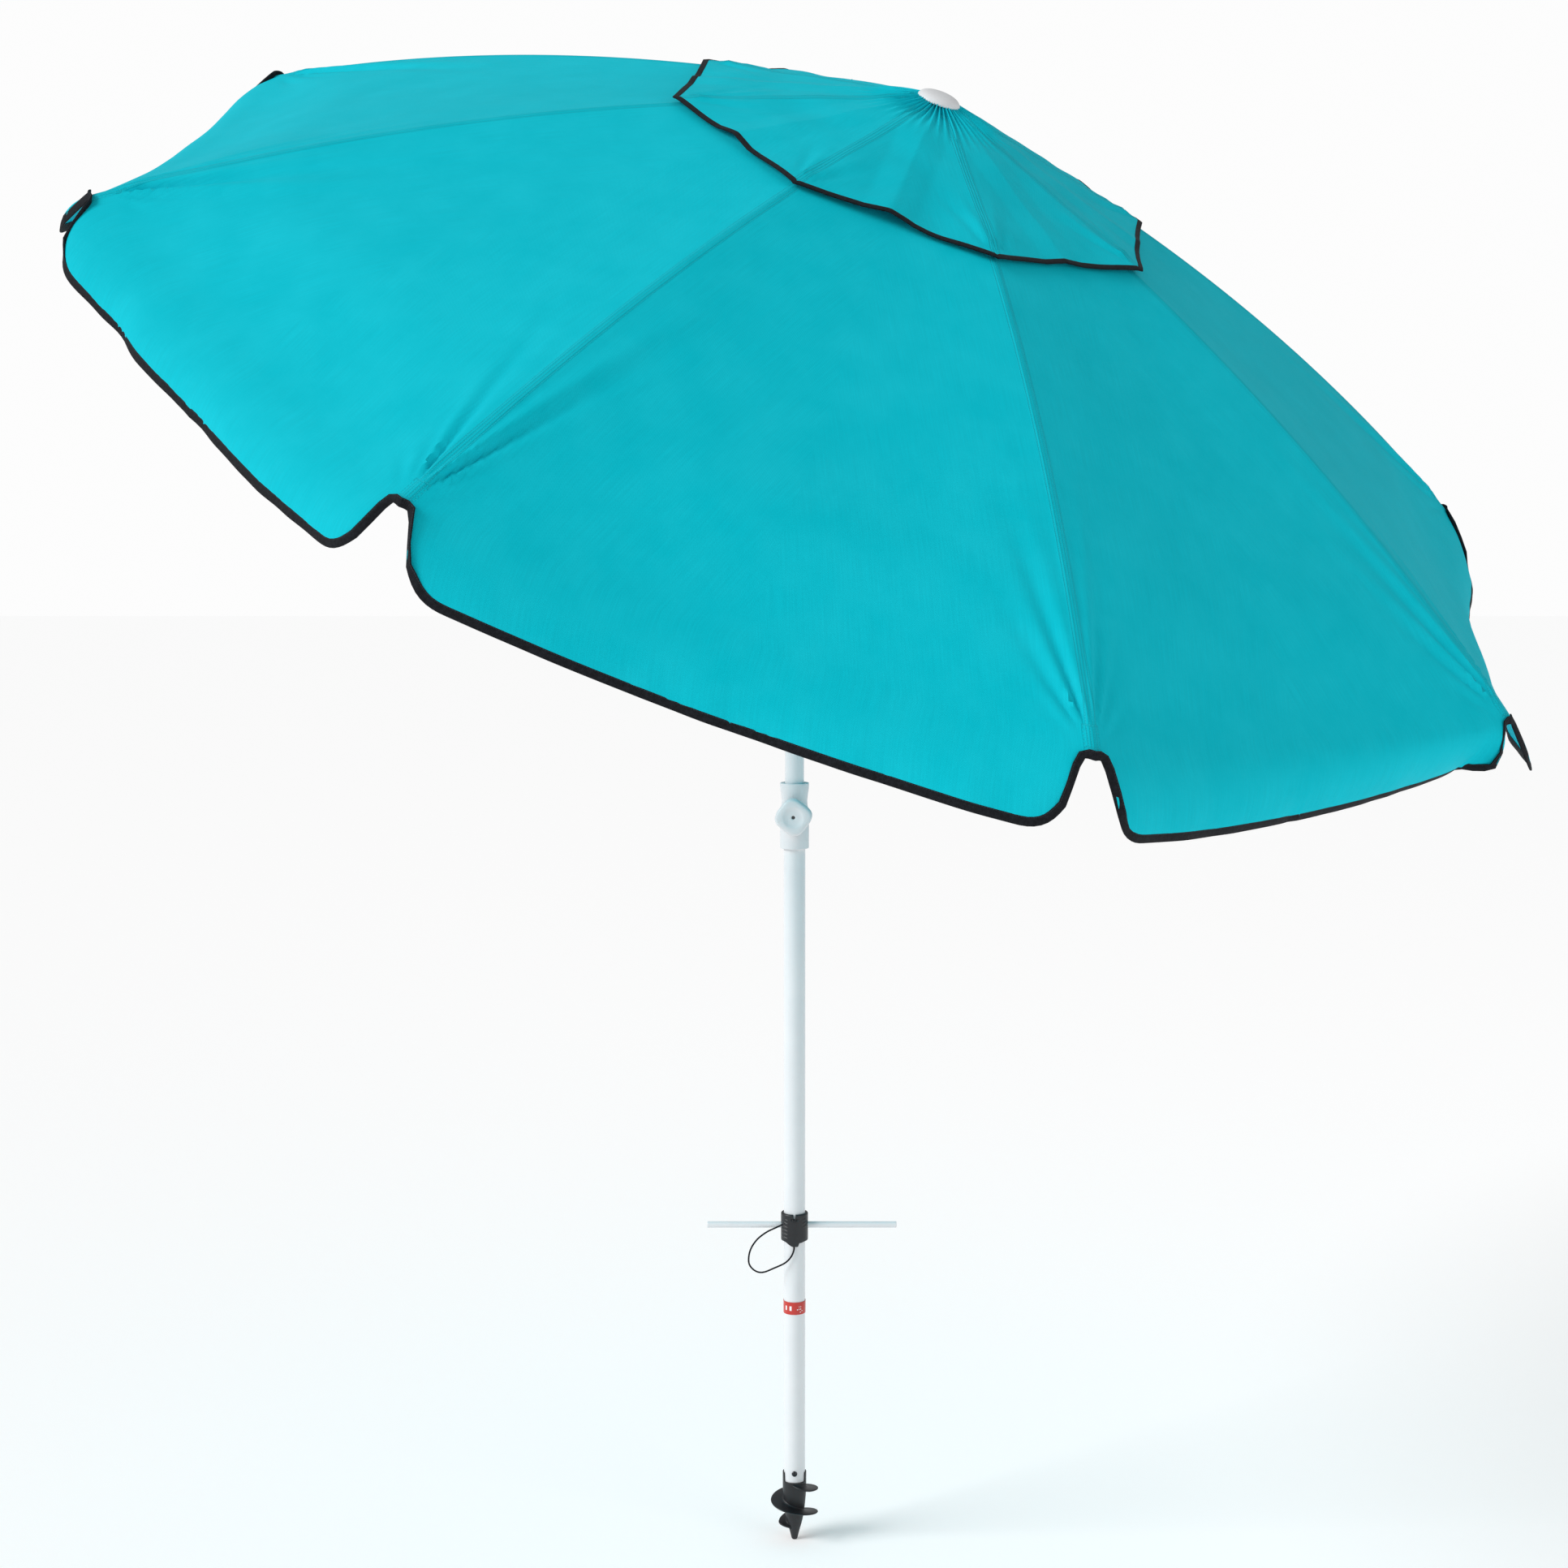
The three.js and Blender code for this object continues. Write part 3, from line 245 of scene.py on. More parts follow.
def buildCloth(finish):
    material, shader = newMaterial(finish["name"], finish["colour"], finish["roughness"])
    tree = material.node_tree
    uv = addNode(tree, "ShaderNodeUVMap", uv_map="cloth").outputs[0]
    place = addNode(tree, "ShaderNodeTexCoord").outputs["Object"]
    split = addNode(tree, "ShaderNodeSeparateXYZ")
    feed(tree, split, 0, uv)
    across = doMath(tree, "ABSOLUTE", split.outputs["X"])
    along = split.outputs["Y"]
    weave = placeGroup(tree, weaveGroup, Vector=uv, Pitch=finish["weavePitch"])
    grain = placeGroup(tree, grainGroup, Vector=place, Scale=420.0)
    inner = placeGroup(tree, stitchGroup, Across=across, Along=along, Line=finish["seamLines"][0])
    outer = placeGroup(tree, stitchGroup, Across=across, Along=along, Line=finish["seamLines"][1])
    thread = doMath(tree, "MAXIMUM", inner.outputs["Thread"], outer.outputs["Thread"])
    # the stitch furrow masks sink the cloth in the bump and also darken its colour below as painted shade
    furrow = doMath(tree, "MAXIMUM", inner.outputs["Furrow"], outer.outputs["Furrow"])
    fold = rescale(tree, across, finish["seamFold"], finish["seamFold"] + 0.0006, 1.0, 0.0)
    for line, limit in finish["patchLines"]:  # cross lines of the pocket over each rib tip
        cross = placeGroup(tree, stitchGroup, Across=along, Along=across, Line=line)
        inPatch = doMath(tree, "LESS_THAN", across, limit)
        thread = doMath(tree, "MAXIMUM", thread, doMath(tree, "MULTIPLY", cross.outputs["Thread"], inPatch))
        furrow = doMath(tree, "MAXIMUM", furrow, doMath(tree, "MULTIPLY", cross.outputs["Furrow"], inPatch))
        side = placeGroup(tree, stitchGroup, Across=across, Along=along, Line=limit)
        beyond = doMath(tree, "GREATER_THAN", along, finish["patchLines"][0][0])
        thread = doMath(tree, "MAXIMUM", thread, doMath(tree, "MULTIPLY", side.outputs["Thread"], beyond))
        furrow = doMath(tree, "MAXIMUM", furrow, doMath(tree, "MULTIPLY", side.outputs["Furrow"], beyond))
    tone = rescale(tree, grain.outputs["Drift"], 0.3, 0.7, 0.0, 1.0)
    colour = blendColours(tree, tone, (*finish["colour"], 1), (*finish["drift"], 1))
    threadTone = rescale(tree, weave.outputs["Tone"], 0.35, 0.65, 0.0, 0.12)
    colour = blendColours(tree, threadTone, colour, (*finish["shade"], 1))
    # painted shade: the cloth is darkened along the stitch furrows of the seams and the tip pockets
    colour = blendColours(tree, doMath(tree, "MULTIPLY", furrow, 0.45), colour, (*finish["shade"], 1))
    colour = blendColours(tree, doMath(tree, "MULTIPLY", thread, 0.6), colour, (*finish["thread"], 1))
    feed(tree, shader, "Base Color", colour)
    smoothest, roughest = finish["roughness"] - 0.06, finish["roughness"] + 0.06
    rough = rescale(tree, grain.outputs["Grain"], 0.3, 0.7, smoothest, roughest)
    feed(tree, shader, "Roughness", rough)
    shader.inputs["Sheen Weight"].default_value = finish["sheen"]
    shader.inputs["Sheen Roughness"].default_value = 0.4
    shader.inputs["Sheen Tint"].default_value = (*finish["sheenTint"], 1)
    shader.inputs["Specular IOR Level"].default_value = 0.06
    fine = addBump(tree, shader, weave.outputs["Height"], 0.35, 0.0002)
    heights = doMath(tree, "SUBTRACT", doMath(tree, "MULTIPLY", thread, 0.8), furrow)
    heights = doMath(tree, "ADD", heights, doMath(tree, "MULTIPLY", fold, 1.2))
    addBump(tree, shader, heights, 0.8, 0.0006, fine)
    return material


def buildTape(finish):  # woven binding tape with a row of stitches near its inner edge
    material, shader = newMaterial(finish["name"], finish["colour"], finish["roughness"])
    tree = material.node_tree
    uv = addNode(tree, "ShaderNodeUVMap", uv_map="cloth").outputs[0]
    place = addNode(tree, "ShaderNodeTexCoord").outputs["Object"]
    split = addNode(tree, "ShaderNodeSeparateXYZ")
    feed(tree, split, 0, uv)
    ribs = doMath(tree, "SINE", doMath(tree, "MULTIPLY", split.outputs["Y"], finish["ribPitch"]))
    stitches = placeGroup(
        tree, stitchGroup, Across=split.outputs["X"], Along=split.outputs["Y"], Line=finish["stitchLine"]
    )
    grain = placeGroup(tree, grainGroup, Vector=place, Scale=260.0)
    lit = rescale(tree, grain.outputs["Grain"], 0.35, 0.7, 0.0, 1.0)
    colour = blendColours(tree, lit, (*finish["colour"], 1), (*finish["worn"], 1))
    threadShare = doMath(tree, "MULTIPLY", stitches.outputs["Thread"], 0.7)
    colour = blendColours(tree, threadShare, colour, (*finish["thread"], 1))
    feed(tree, shader, "Base Color", colour)
    shader.inputs["Sheen Weight"].default_value = 0.02
    shader.inputs["Sheen Roughness"].default_value = 0.5
    shader.inputs["Specular IOR Level"].default_value = 0.12
    fine = addBump(tree, shader, ribs, 0.4, 0.0002)
    addBump(tree, shader, doMath(tree, "MULTIPLY", stitches.outputs["Furrow"], -1.0), 0.7, 0.0005, fine)
    return material


def buildHardFinish(finish):  # paint, moulded plastic or bare metal with grain, drift of tone and scuffs
    material, shader = newMaterial(
        finish["name"], finish["colour"], finish["roughness"], finish.get("metallic", 0.0)
    )
    tree = material.node_tree
    place = addNode(tree, "ShaderNodeTexCoord").outputs["Object"]
    grain = placeGroup(tree, grainGroup, Vector=place, Scale=finish["grainScale"])
    scuffs = placeGroup(tree, scuffGroup, Vector=place, Amount=finish["scuffs"])
    tone = rescale(tree, grain.outputs["Drift"], 0.3, 0.7, 0.0, 1.0)
    colour = blendColours(tree, tone, (*finish["colour"], 1), (*finish["drift"], 1))
    colour = blendColours(tree, scuffs.outputs[0], colour, (*finish["rubbed"], 1))
    feed(tree, shader, "Base Color", colour)
    rough = rescale(
        tree, grain.outputs["Drift"], 0.3, 0.7, finish["roughness"] - 0.05, finish["roughness"] + 0.07
    )
    rubbed = doMath(tree, "MULTIPLY", scuffs.outputs[0], 0.3)
    feed(tree, shader, "Roughness", doMath(tree, "ADD", rough, rubbed))
    shader.inputs["Coat Weight"].default_value = finish.get("coat", 0.0)
    shader.inputs["Coat Roughness"].default_value = 0.15
    addBump(tree, shader, grain.outputs["Grain"], finish["grainStrength"], 0.0002)
    return material


canopyCloth = buildCloth({
    "name": "canopy cloth",
    "colour": (0.0, 0.5, 0.605),
    "drift": (0.004, 0.535, 0.645),
    # darker tone, for the weave's thread tone and for the painted shade in the stitch furrows
    "shade": (0.0, 0.27, 0.34),
    "thread": (0.02, 0.56, 0.66),
    "sheenTint": (0.3, 0.9, 1.0),
    "sheen": 0.04,
    "roughness": 0.72,
    "weavePitch": 0.0011,
    "seamLines": (0.0022, 0.0062),
    "seamFold": 0.0074,
    "patchLines": ((1.067, 0.0105), (1.096, 0.0105)),
})
bindingTape = buildTape({
    "name": "binding tape",
    "colour": (0.005, 0.006, 0.008),
    "worn": (0.011, 0.013, 0.017),
    "thread": (0.03, 0.034, 0.04),
    "roughness": 0.7,
    "ribPitch": 4200.0,
    "stitchLine": 0.0085,
})
elasticCover = buildTape({
    "name": "elastic cord cover",
    "colour": (0.006, 0.006, 0.008),
    "worn": (0.022, 0.023, 0.027),
    "thread": (0.03, 0.03, 0.033),
    "roughness": 0.8,
    "ribPitch": 5200.0,
    "stitchLine": 0.5,
})
whitePaint = buildHardFinish({
    "name": "white pole paint",
    "colour": (0.71, 0.73, 0.75),
    "drift": (0.76, 0.775, 0.79),
    "rubbed": (0.5, 0.51, 0.52),
    "roughness": 0.32,
    "grainScale": 1500.0,
    "grainStrength": 0.12,
    "scuffs": 0.12,
    "coat": 0.3,
})
whiteRibPaint = buildHardFinish({
    "name": "white rib paint",
    "colour": (0.66, 0.68, 0.69),
    "drift": (0.72, 0.73, 0.74),
    "rubbed": (0.35, 0.36, 0.37),
    "roughness": 0.4,
    "grainScale": 1800.0,
    "grainStrength": 0.1,
    "scuffs": 0.25,
})
whitePlastic = buildHardFinish({
    "name": "white moulded plastic",
    "colour": (0.68, 0.7, 0.72),
    "drift": (0.73, 0.745, 0.76),
    "rubbed": (0.6, 0.6, 0.6),
    "roughness": 0.45,
    "grainScale": 2400.0,
    "grainStrength": 0.2,
    "scuffs": 0.08,
})
blackPlastic = buildHardFinish({
    "name": "black moulded plastic",
    "colour": (0.006, 0.007, 0.009),
    "drift": (0.011, 0.013, 0.016),
    "rubbed": (0.05, 0.055, 0.06),
    "roughness": 0.42,
    "grainScale": 1600.0,
    "grainStrength": 0.3,
    "scuffs": 0.35,
})
# dark steel for the anchor screw head, and for the knob stud, whose end is made dark as painted shade in the
# knob's eye
darkSteelAndEyeShade = buildHardFinish({
    "name": "dark steel and painted eye shade",
    "colour": (0.05, 0.055, 0.06),
    "drift": (0.08, 0.085, 0.09),
    "rubbed": (0.3, 0.3, 0.3),
    "roughness": 0.32,
    "metallic": 0.9,
    "grainScale": 1900.0,
    "grainStrength": 0.15,
    "scuffs": 0.4,
})
bareSteel = buildHardFinish({
    "name": "bare steel",
    "colour": (0.42, 0.43, 0.44),
    "drift": (0.5, 0.51, 0.52),
    "rubbed": (0.66, 0.66, 0.66),
    "roughness": 0.28,
    "metallic": 1.0,
    "grainScale": 1900.0,
    "grainStrength": 0.12,
    "scuffs": 0.4,
})
brass = buildHardFinish({
    "name": "brass",
    "colour": (0.5, 0.34, 0.12),
    "drift": (0.58, 0.4, 0.15),
    "rubbed": (0.7, 0.52, 0.25),
    "roughness": 0.3,
    "metallic": 1.0,
    "grainScale": 1900.0,
    "grainStrength": 0.12,
    "scuffs": 0.4,
})
print("materials made")


# Pieces from bmesh

def finishPiece(name, bm, material, body, sharpAngle=35):
    mesh = bpy.data.meshes.new(name)
    bm.to_mesh(mesh)
    bm.free()
    for face in mesh.polygons:
        face.use_smooth = True
    mesh.set_sharp_from_angle(angle=math.radians(sharpAngle))
    mesh.materials.append(material)
    piece = bpy.data.objects.new(name, mesh)
    scene.collection.objects.link(piece)
    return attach(piece, body)


def rounded(corners, steps=4):  # a profile of (radius, height, rounding) with its corners rounded
    points = []
    for i, (r, z, size) in enumerate(corners):
        here = Vector((r, z))
        if size == 0:
            points.append(here)
            continue
        back = Vector(corners[i - 1][:2]) - here
        on = Vector(corners[i + 1][:2]) - here
        start = here + back.normalized() * min(size, back.length / 2)
        end = here + on.normalized() * min(size, on.length / 2)
        for j in range(steps + 1):
            t = j / steps
            points.append(start * (1 - t) ** 2 + here * 2 * t * (1 - t) + end * t * t)
    return points


def turned(profile, steps=96, place=None):  # a profile turned about Z, then placed
    bm = bmesh.new()
    verts = [bm.verts.new((r, 0, z)) for r, z in profile]
    edges = [bm.edges.new(pair) for pair in zip(verts, verts[1:])]
    bmesh.ops.spin(
        bm, geom=verts + edges, cent=(0, 0, 0), axis=(0, 0, 1), angle=2 * math.pi, steps=steps, use_merge=True
    )
    bmesh.ops.remove_doubles(bm, verts=bm.verts[:], dist=1e-6)
    bmesh.ops.dissolve_degenerate(bm, edges=bm.edges[:], dist=1e-7)
    bmesh.ops.recalc_face_normals(bm, faces=bm.faces[:])
    if place is not None:
        bm.transform(place)
    return bm


def gridOf(columns, rows, pointAt, uvAt=None):  # a grid whose point at (column, row) comes from a formula
    bm = bmesh.new()
    made = bmesh.ops.create_grid(bm, x_segments=columns - 1, y_segments=rows - 1, size=0.5, calc_uvs=False)
    cells = {}
    for vert in made["verts"]:
        cells[vert] = (round((vert.co.x + 0.5) * (columns - 1)), round((vert.co.y + 0.5) * (rows - 1)))
    if uvAt is not None:
        layer = bm.loops.layers.uv.new("cloth")
        for face in bm.faces:
            for loop in face.loops:
                loop[layer].uv = uvAt(*cells[loop.vert])
    for vert, cell in cells.items():
        vert.co = pointAt(*cell)
    return bm


alongX = Matrix.Rotation(math.radians(90), 4, "Y")

# Elastic cord of the handle, from the holder's left side round to the lobe at its front

cord = {
    "radius": 0.0013,
    "sides": 12,
    "stepsPerPoint": 8,
    "route": [
        (-18.5, -9.6, 492.5),
        (-27, -10.5, 488.5),
        (-41, -11.5, 482),
        (-54.5, -12.5, 472),
        (-63.6, -13.5, 460),
        (-67.9, -14.3, 448),
        (-68.2, -15, 435),
        (-63, -15.7, 426.6),
        (-54.5, -16.4, 421.7),
        (-44.8, -17, 422),
        (-30.3, -18, 428.3),
        (-14.5, -19, 436.2),
        (-5.3, -19, 445.6),
        (-1.2, -18.6, 455),
        (-0.7, -18.3, 460.7),
    ],
}


def throughPoints(points, stepsPerPoint):  # a smooth curve through given points
    curve = []
    last = len(points) - 1
    for i in range(last):
        p0, p1 = points[max(i - 1, 0)], points[i]
        p2, p3 = points[i + 1], points[min(i + 2, last)]
        for j in range(stepsPerPoint):
            t = j / stepsPerPoint
            rise = p1 * 2 + (p2 - p0) * t + (p0 * 2 - p1 * 5 + p2 * 4 - p3) * t * t
            curve.append((rise + (p1 * 3 - p0 - p2 * 3 + p3) * t ** 3) / 2)
    return curve + [points[-1]]


def buildCord():
    route = [Vector(p) / 1000 for p in cord["route"]]
    line = throughPoints(route, cord["stepsPerPoint"])
    lengths = [0.0]
    for a, b in zip(line, line[1:]):
        lengths.append(lengths[-1] + (b - a).length)
    sides = cord["sides"]

    def pointAt(column, row):
        along = (line[min(row + 1, len(line) - 1)] - line[max(row - 1, 0)]).normalized()
        side = along.cross(Vector((0, 1, 0))).normalized()
        turn = 2 * math.pi * column / sides
        return line[row] + (side * math.cos(turn) + along.cross(side) * math.sin(turn)) * cord["radius"]

    bm = gridOf(sides + 1, len(line), pointAt, lambda column, row: (column / sides * 0.008, lengths[row]))
    bmesh.ops.remove_doubles(bm, verts=bm.verts[:], dist=1e-6)
    bmesh.ops.holes_fill(bm, edges=[e for e in bm.edges if e.is_boundary])
    bmesh.ops.recalc_face_normals(bm, faces=bm.faces[:])
    piece = finishPiece("handle_cord_braid", bm, elasticCover, "lower_assembly", 60)
    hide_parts("handle_cord")
    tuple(line[0])


buildCord()
print("cord made")

# Canopy: the same driving sizes as the frame's ribs and cloth, in the canopy's own frame

canopy = {
    "pivotHeight": 1.576,
    "lean": 28.5,
    "leanTowards": 312.5,
    "ribs": 8,
    "phase": 199,
    "hubRadius": 0.020,
    "hubHeight": 0.590,
    "tipRadius": 1.047,
    "tipHeight": 0.200,
    "arch": 0.044,
    "lift": 0.0044,
    "thickness": 0.0009,
    "openingRadius": 0.235,
    "overhang": 0.006,
    "drop": 0.106,
    "belly": 0.004,
    "inset": 0.085,
    "notchFlat": 0.009,
    "notchSide": 0.016,
    "flare": 0.62,
    "sag": 0.007,
    "dip": 0.020,
    "drift": 0.0035,
    "driftFade": 0.12,
    "hemWaves": [(7.0, 2.3, 0.4, 0.011), (21.0, 1.1, 2.6, 0.0035)],  # scale, panel step, start, height
    "seamRise": 0.0008,
    "tucked": {2: (0.15, 1.0)},  # panels whose skirt turns under, by how much at either end
    "tuckAngle": 60.0,
    "columns": 42,
    "rows": 78,
    "skirtRows": 14,
    "keep": 0.1,
}
leanTowards = math.radians(canopy["leanTowards"])
leanAxis = Vector((-math.sin(leanTowards), math.cos(leanTowards), 0))
leaning = Matrix.Rotation(math.radians(canopy["lean"]), 4, leanAxis)
canopyFrame = Matrix.Translation((0, 0, canopy["pivotHeight"])) @ leaning
plumb = leaning.inverted() @ Vector((0, 0, -1))
halfStep = math.pi / canopy["ribs"]
chordRise = canopy["tipHeight"] - canopy["hubHeight"]
chordRun = canopy["tipRadius"] - canopy["hubRadius"]
ribChord = math.hypot(chordRise, chordRun)
ribBend = ribChord ** 2 / (8 * canopy["arch"]) + canopy["arch"] / 2
ribHalfAngle = math.asin(ribChord / 2 / ribBend)
ribLength = 2 * ribHalfAngle * ribBend
chordAngle = math.atan2(chordRise, chordRun)


def ribPlace(t, lift):  # radius and height on a rib, t from the crown to the tip
    turn = ribHalfAngle * (2 * t - 1)
    along = (ribBend + lift) * math.sin(turn) + ribChord / 2
    out = (ribBend + lift) * math.cos(turn) - (ribBend - canopy["arch"])
    radius = canopy["hubRadius"] + along * math.cos(chordAngle) - out * math.sin(chordAngle)
    return radius, canopy["hubHeight"] + along * math.sin(chordAngle) + out * math.cos(chordAngle)


def azimuthOf(rib):
    return math.radians(canopy["phase"]) + 2 * halfStep * rib


def radially(azimuth, radius, height):
    return Vector((radius * math.cos(azimuth), radius * math.sin(azimuth), height))


halfPanel = ribPlace(1, canopy["lift"])[0] * math.sin(halfStep)

# Creases that run in from a rib tip: angle from the rib in degrees, depth, reach and width in degrees
creases = [
    (7.0, 0.0042, 0.52, 3.0),
    (12.5, -0.0050, 0.44, 3.2),
    (19.0, 0.0042, 0.30, 3.6),
    (27.0, -0.0036, 0.20, 4.5),
    (38.0, 0.0030, 0.15, 6.0),
    (52.0, -0.0026, 0.11, 7.0),
]


def seeded(*numbers):  # an even value from -1 to 1 that depends only on the numbers given
    return noise.noise(Vector(numbers) * 3.71 + Vector((0.5, 0.5, 0.5))) * 1.6


def creaseHeight(panel, across, t):  # how far the cloth stands out from the flat panel
    height = 0.0
    for corner, share in ((panel, across), (panel + 1, 1 - across)):
        inward = (1 - t) * ribLength
        aside = 2 * share * ribPlace(t, 0)[0] * math.sin(halfStep)
        reach = math.hypot(inward, aside)
        angle = math.degrees(math.atan2(aside, max(inward, 1e-6)))
        side = 1 if corner == panel else -1
        for i, (middle, depth, length, width) in enumerate(creases):
            chance = seeded(corner * 1.3, side * 2.1, i * 0.9)
            rise = smooth((reach - 0.014) / 0.05) * (1 - smooth(reach / (length * (1 + 0.35 * chance))))
            spread = width + 0.26 / max(reach, 0.02)
            height += depth * (1 + 0.6 * chance) * rise * hump(angle, middle + 2 * chance, spread)
    return height


def panelPoint(panel, across, t, dip=1.0):  # on the panel from rib number panel to the next one
    radius, height = ribPlace(t, canopy["lift"])
    first = radially(azimuthOf(panel), radius, height)
    second = radially(azimuthOf(panel + 1), radius, height)
    slope = chordAngle - ribHalfAngle * (2 * t - 1)
    outward = radially(azimuthOf(panel + 0.5), 1, 0)
    normal = (Vector((0, 0, math.cos(slope) * math.cos(halfStep))) - outward * math.sin(slope)).normalized()
    deepest = canopy["sag"] * smooth(t * 1.6) + dip * canopy["dip"] * smooth(t * 5 - 4)
    hollow = 4 * across * (1 - across) * deepest
    aside = min(across, 1 - across) * 2 * radius * math.sin(halfStep)
    place = first.lerp(second, across)
    drift = noise.noise(canopyFrame @ place * 5.0) * canopy["drift"] * smooth(aside / canopy["driftFade"])
    atTips = min(across, 1 - across) * 2 * halfPanel
    seam = canopy["seamRise"] * (smooth(atTips / 0.0026) - smooth((atTips - 0.0075) / 0.004) * 0.6 - 0.5)
    return place + normal * (creaseHeight(panel % canopy["ribs"], across, t) + drift + seam - hollow)


def hemDepth(distance):  # an arch over each tip, with a rounded top and rounded lower corners
    share = min(distance / canopy["inset"], 1)
    side = smooth((distance - canopy["notchFlat"]) / canopy["notchSide"])
    deep = canopy["overhang"] + (canopy["drop"] - canopy["overhang"]) * (1 - (1 - share) ** 3) * side
    return deep + canopy["belly"] * math.sin(math.pi / 2 * min(distance / halfPanel, 1))


def skirtPoint(panel, across, v):  # v from the chord between two tips down to the hem
    edge = panelPoint(panel, across, 1)
    slope = (edge - panelPoint(panel, across, 0.985)).normalized()
    flat = (panelPoint(panel, 0.5, 1, 0) - panelPoint(panel, 0.5, 0.97, 0)).normalized()
    distance = min(across, 1 - across) * 2 * halfPanel
    steady = smooth(distance / 0.05)
    slope = flat.lerp(slope, 0.25 * steady).normalized()
    depth = hemDepth(distance)
    outward = radially(azimuthOf(panel + 0.5), 1, 0)
    outward = (outward - plumb * outward.dot(plumb)).normalized()
    tuck = mix(*canopy["tucked"].get(panel % canopy["ribs"], (0.0, 0.0)), across) * steady
    turn = math.radians(canopy["tuckAngle"]) * tuck
    flare = canopy["flare"] * (1 - 0.55 * tuck)
    bend = edge + slope * depth * flare
    end = bend + (plumb * math.cos(turn) - outward * math.sin(turn)) * depth * (1 - flare)
    place = edge * (1 - v) ** 2 + bend * 2 * v * (1 - v) + end * v * v
    position = distance * (1 if across < 0.5 else -1) + panel * 1.7
    wave = 0.0
    for scale, step, start, swell in canopy["hemWaves"]:
        wave += noise.noise(Vector((position * scale, panel * step, start))) * swell
    return place + outward * wave * v * v * smooth(distance / 0.09)


def coverPoint(rib, side, distance, t, v):  # side -1 or 1, distance from the rib at the tips' chord
    share = distance / halfPanel / 2
    panel, across = (rib, share) if side > 0 else (rib - 1, 1 - share)
    place = skirtPoint(panel, across, v) if v > 0 else panelPoint(panel, across, t)
    return canopyFrame @ place


def clothColumns():  # signed distances from the rib to the middles of the panels on both sides
    count = canopy["columns"]
    half = [halfPanel * (j / count) ** 1.55 for j in range(1, count + 1)]
    return [(-1, d) for d in reversed(half)] + [(1, 0.0)] + [(1, d) for d in half]


def onRib(piece):  # gives the piece its own copy of its mesh
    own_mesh(piece)


def buildGore(rib):
    columns = clothColumns()
    opening = (canopy["openingRadius"] - canopy["hubRadius"]) / chordRun
    levels = []
    for row in range(canopy["rows"]):
        levels.append((1 - (1 - opening) * (1 - row / (canopy["rows"] - 1)) ** 1.25, 0.0))
    for row in range(1, canopy["skirtRows"] + 1):
        levels.append((1.0, row / canopy["skirtRows"]))

    def pointAt(column, row):
        side, distance = columns[column]
        return coverPoint(rib, side, distance, *levels[row])

    def uvAt(column, row):
        side, distance = columns[column]
        t, v = levels[row]
        width = distance * ribPlace(t, 0)[0] / canopy["tipRadius"]
        return side * width, t * ribLength + v * hemDepth(distance)

    bm = gridOf(len(columns), len(levels), pointAt, uvAt)
    bmesh.ops.recalc_face_normals(bm, faces=bm.faces[:])
    outside = canopyFrame.to_3x3() @ radially(azimuthOf(rib), 0.3, 1)
    if sum((face.normal.dot(outside) for face in bm.faces), 0) < 0:
        bmesh.ops.reverse_faces(bm, faces=bm.faces[:])
    bmesh.ops.solidify(bm, geom=bm.faces[:], thickness=canopy["thickness"])
    piece = finishPiece(f"canopy_cloth_{rib + 1}", bm, canopyCloth, f"rib_{rib + 1}", 50)
    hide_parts(f"canopy_gore_{rib + 1}")
    onRib(piece)
    return piece

clothFrame = canopyFrame.to_3x3()


def coverAt(rib, signed, t, v):
    return coverPoint(rib, 1 if signed >= 0 else -1, abs(signed), t, v)


def softened(edge):  # (place, normal) pairs with each normal averaged with its neighbours
    last = len(edge) - 1
    result = []
    for i, (place, normal) in enumerate(edge):
        total = normal * 2 + edge[max(i - 1, 0)][1] + edge[min(i + 1, last)][1]
        result.append((place, total.normalized()))
    return result


def buildBand(name, edge, width, half, rib, material=bindingTape):  # tape folded over the cloth's edge
    upper = [(-0.10, 0.0), (-0.06, 0.8), (0.2, 1.0), (0.85, 0.93), (0.98, 0.65), (1.0, 0.0)]
    loop = upper + [(u, -w) for u, w in reversed(upper[1:-1])]
    last = len(edge) - 1
    lengths = [0.0]
    for (a, _), (b, _) in zip(edge, edge[1:]):
        lengths.append(lengths[-1] + (b - a).length)

    def pointAt(column, row):
        u, w = loop[column % len(loop)]
        place, normal = edge[row]
        along = (edge[min(row + 1, last)][0] - edge[max(row - 1, 0)][0]).normalized()
        inward = normal.cross(along).normalized()
        lumps = 1 + 0.16 * noise.noise(place * 190)
        return place + inward * u * width + normal * (w * half * lumps - canopy["thickness"] / 2)

    def uvAt(column, row):
        return loop[column % len(loop)][0] * width, lengths[row]

    bm = gridOf(len(loop) + 1, len(edge), pointAt, uvAt)
    bmesh.ops.remove_doubles(bm, verts=bm.verts[:], dist=1e-6)
    bmesh.ops.holes_fill(bm, edges=[e for e in bm.edges if e.is_boundary])
    bmesh.ops.recalc_face_normals(bm, faces=bm.faces[:])
    piece = finishPiece(name, bm, material, f"rib_{rib + 1}", 60)
    onRib(piece)
    return piece


def buildHem(rib):
    step = 0.004
    edge = []
    for side, distance in clothColumns():
        signed = side * distance
        place = coverAt(rib, signed, 1, 1)
        across = coverAt(rib, signed + step, 1, 1) - coverAt(rib, signed - step, 1, 1)
        edge.append((place, (place - coverAt(rib, signed, 1, 0.8)).cross(across).normalized()))
    return buildBand(f"hem_binding_{rib + 1}", softened(softened(edge)), 0.0098, 0.0013, rib)


# The pocket that each rib tip sits in, and the cap on the tip

pocket = {"halfWidth": 0.011, "length": 0.032, "depth": 0.0088, "thickness": 0.0011, "closed": 0.14}
tipCap = {"radius": 0.0034, "length": 0.013, "overlap": 0.0015}


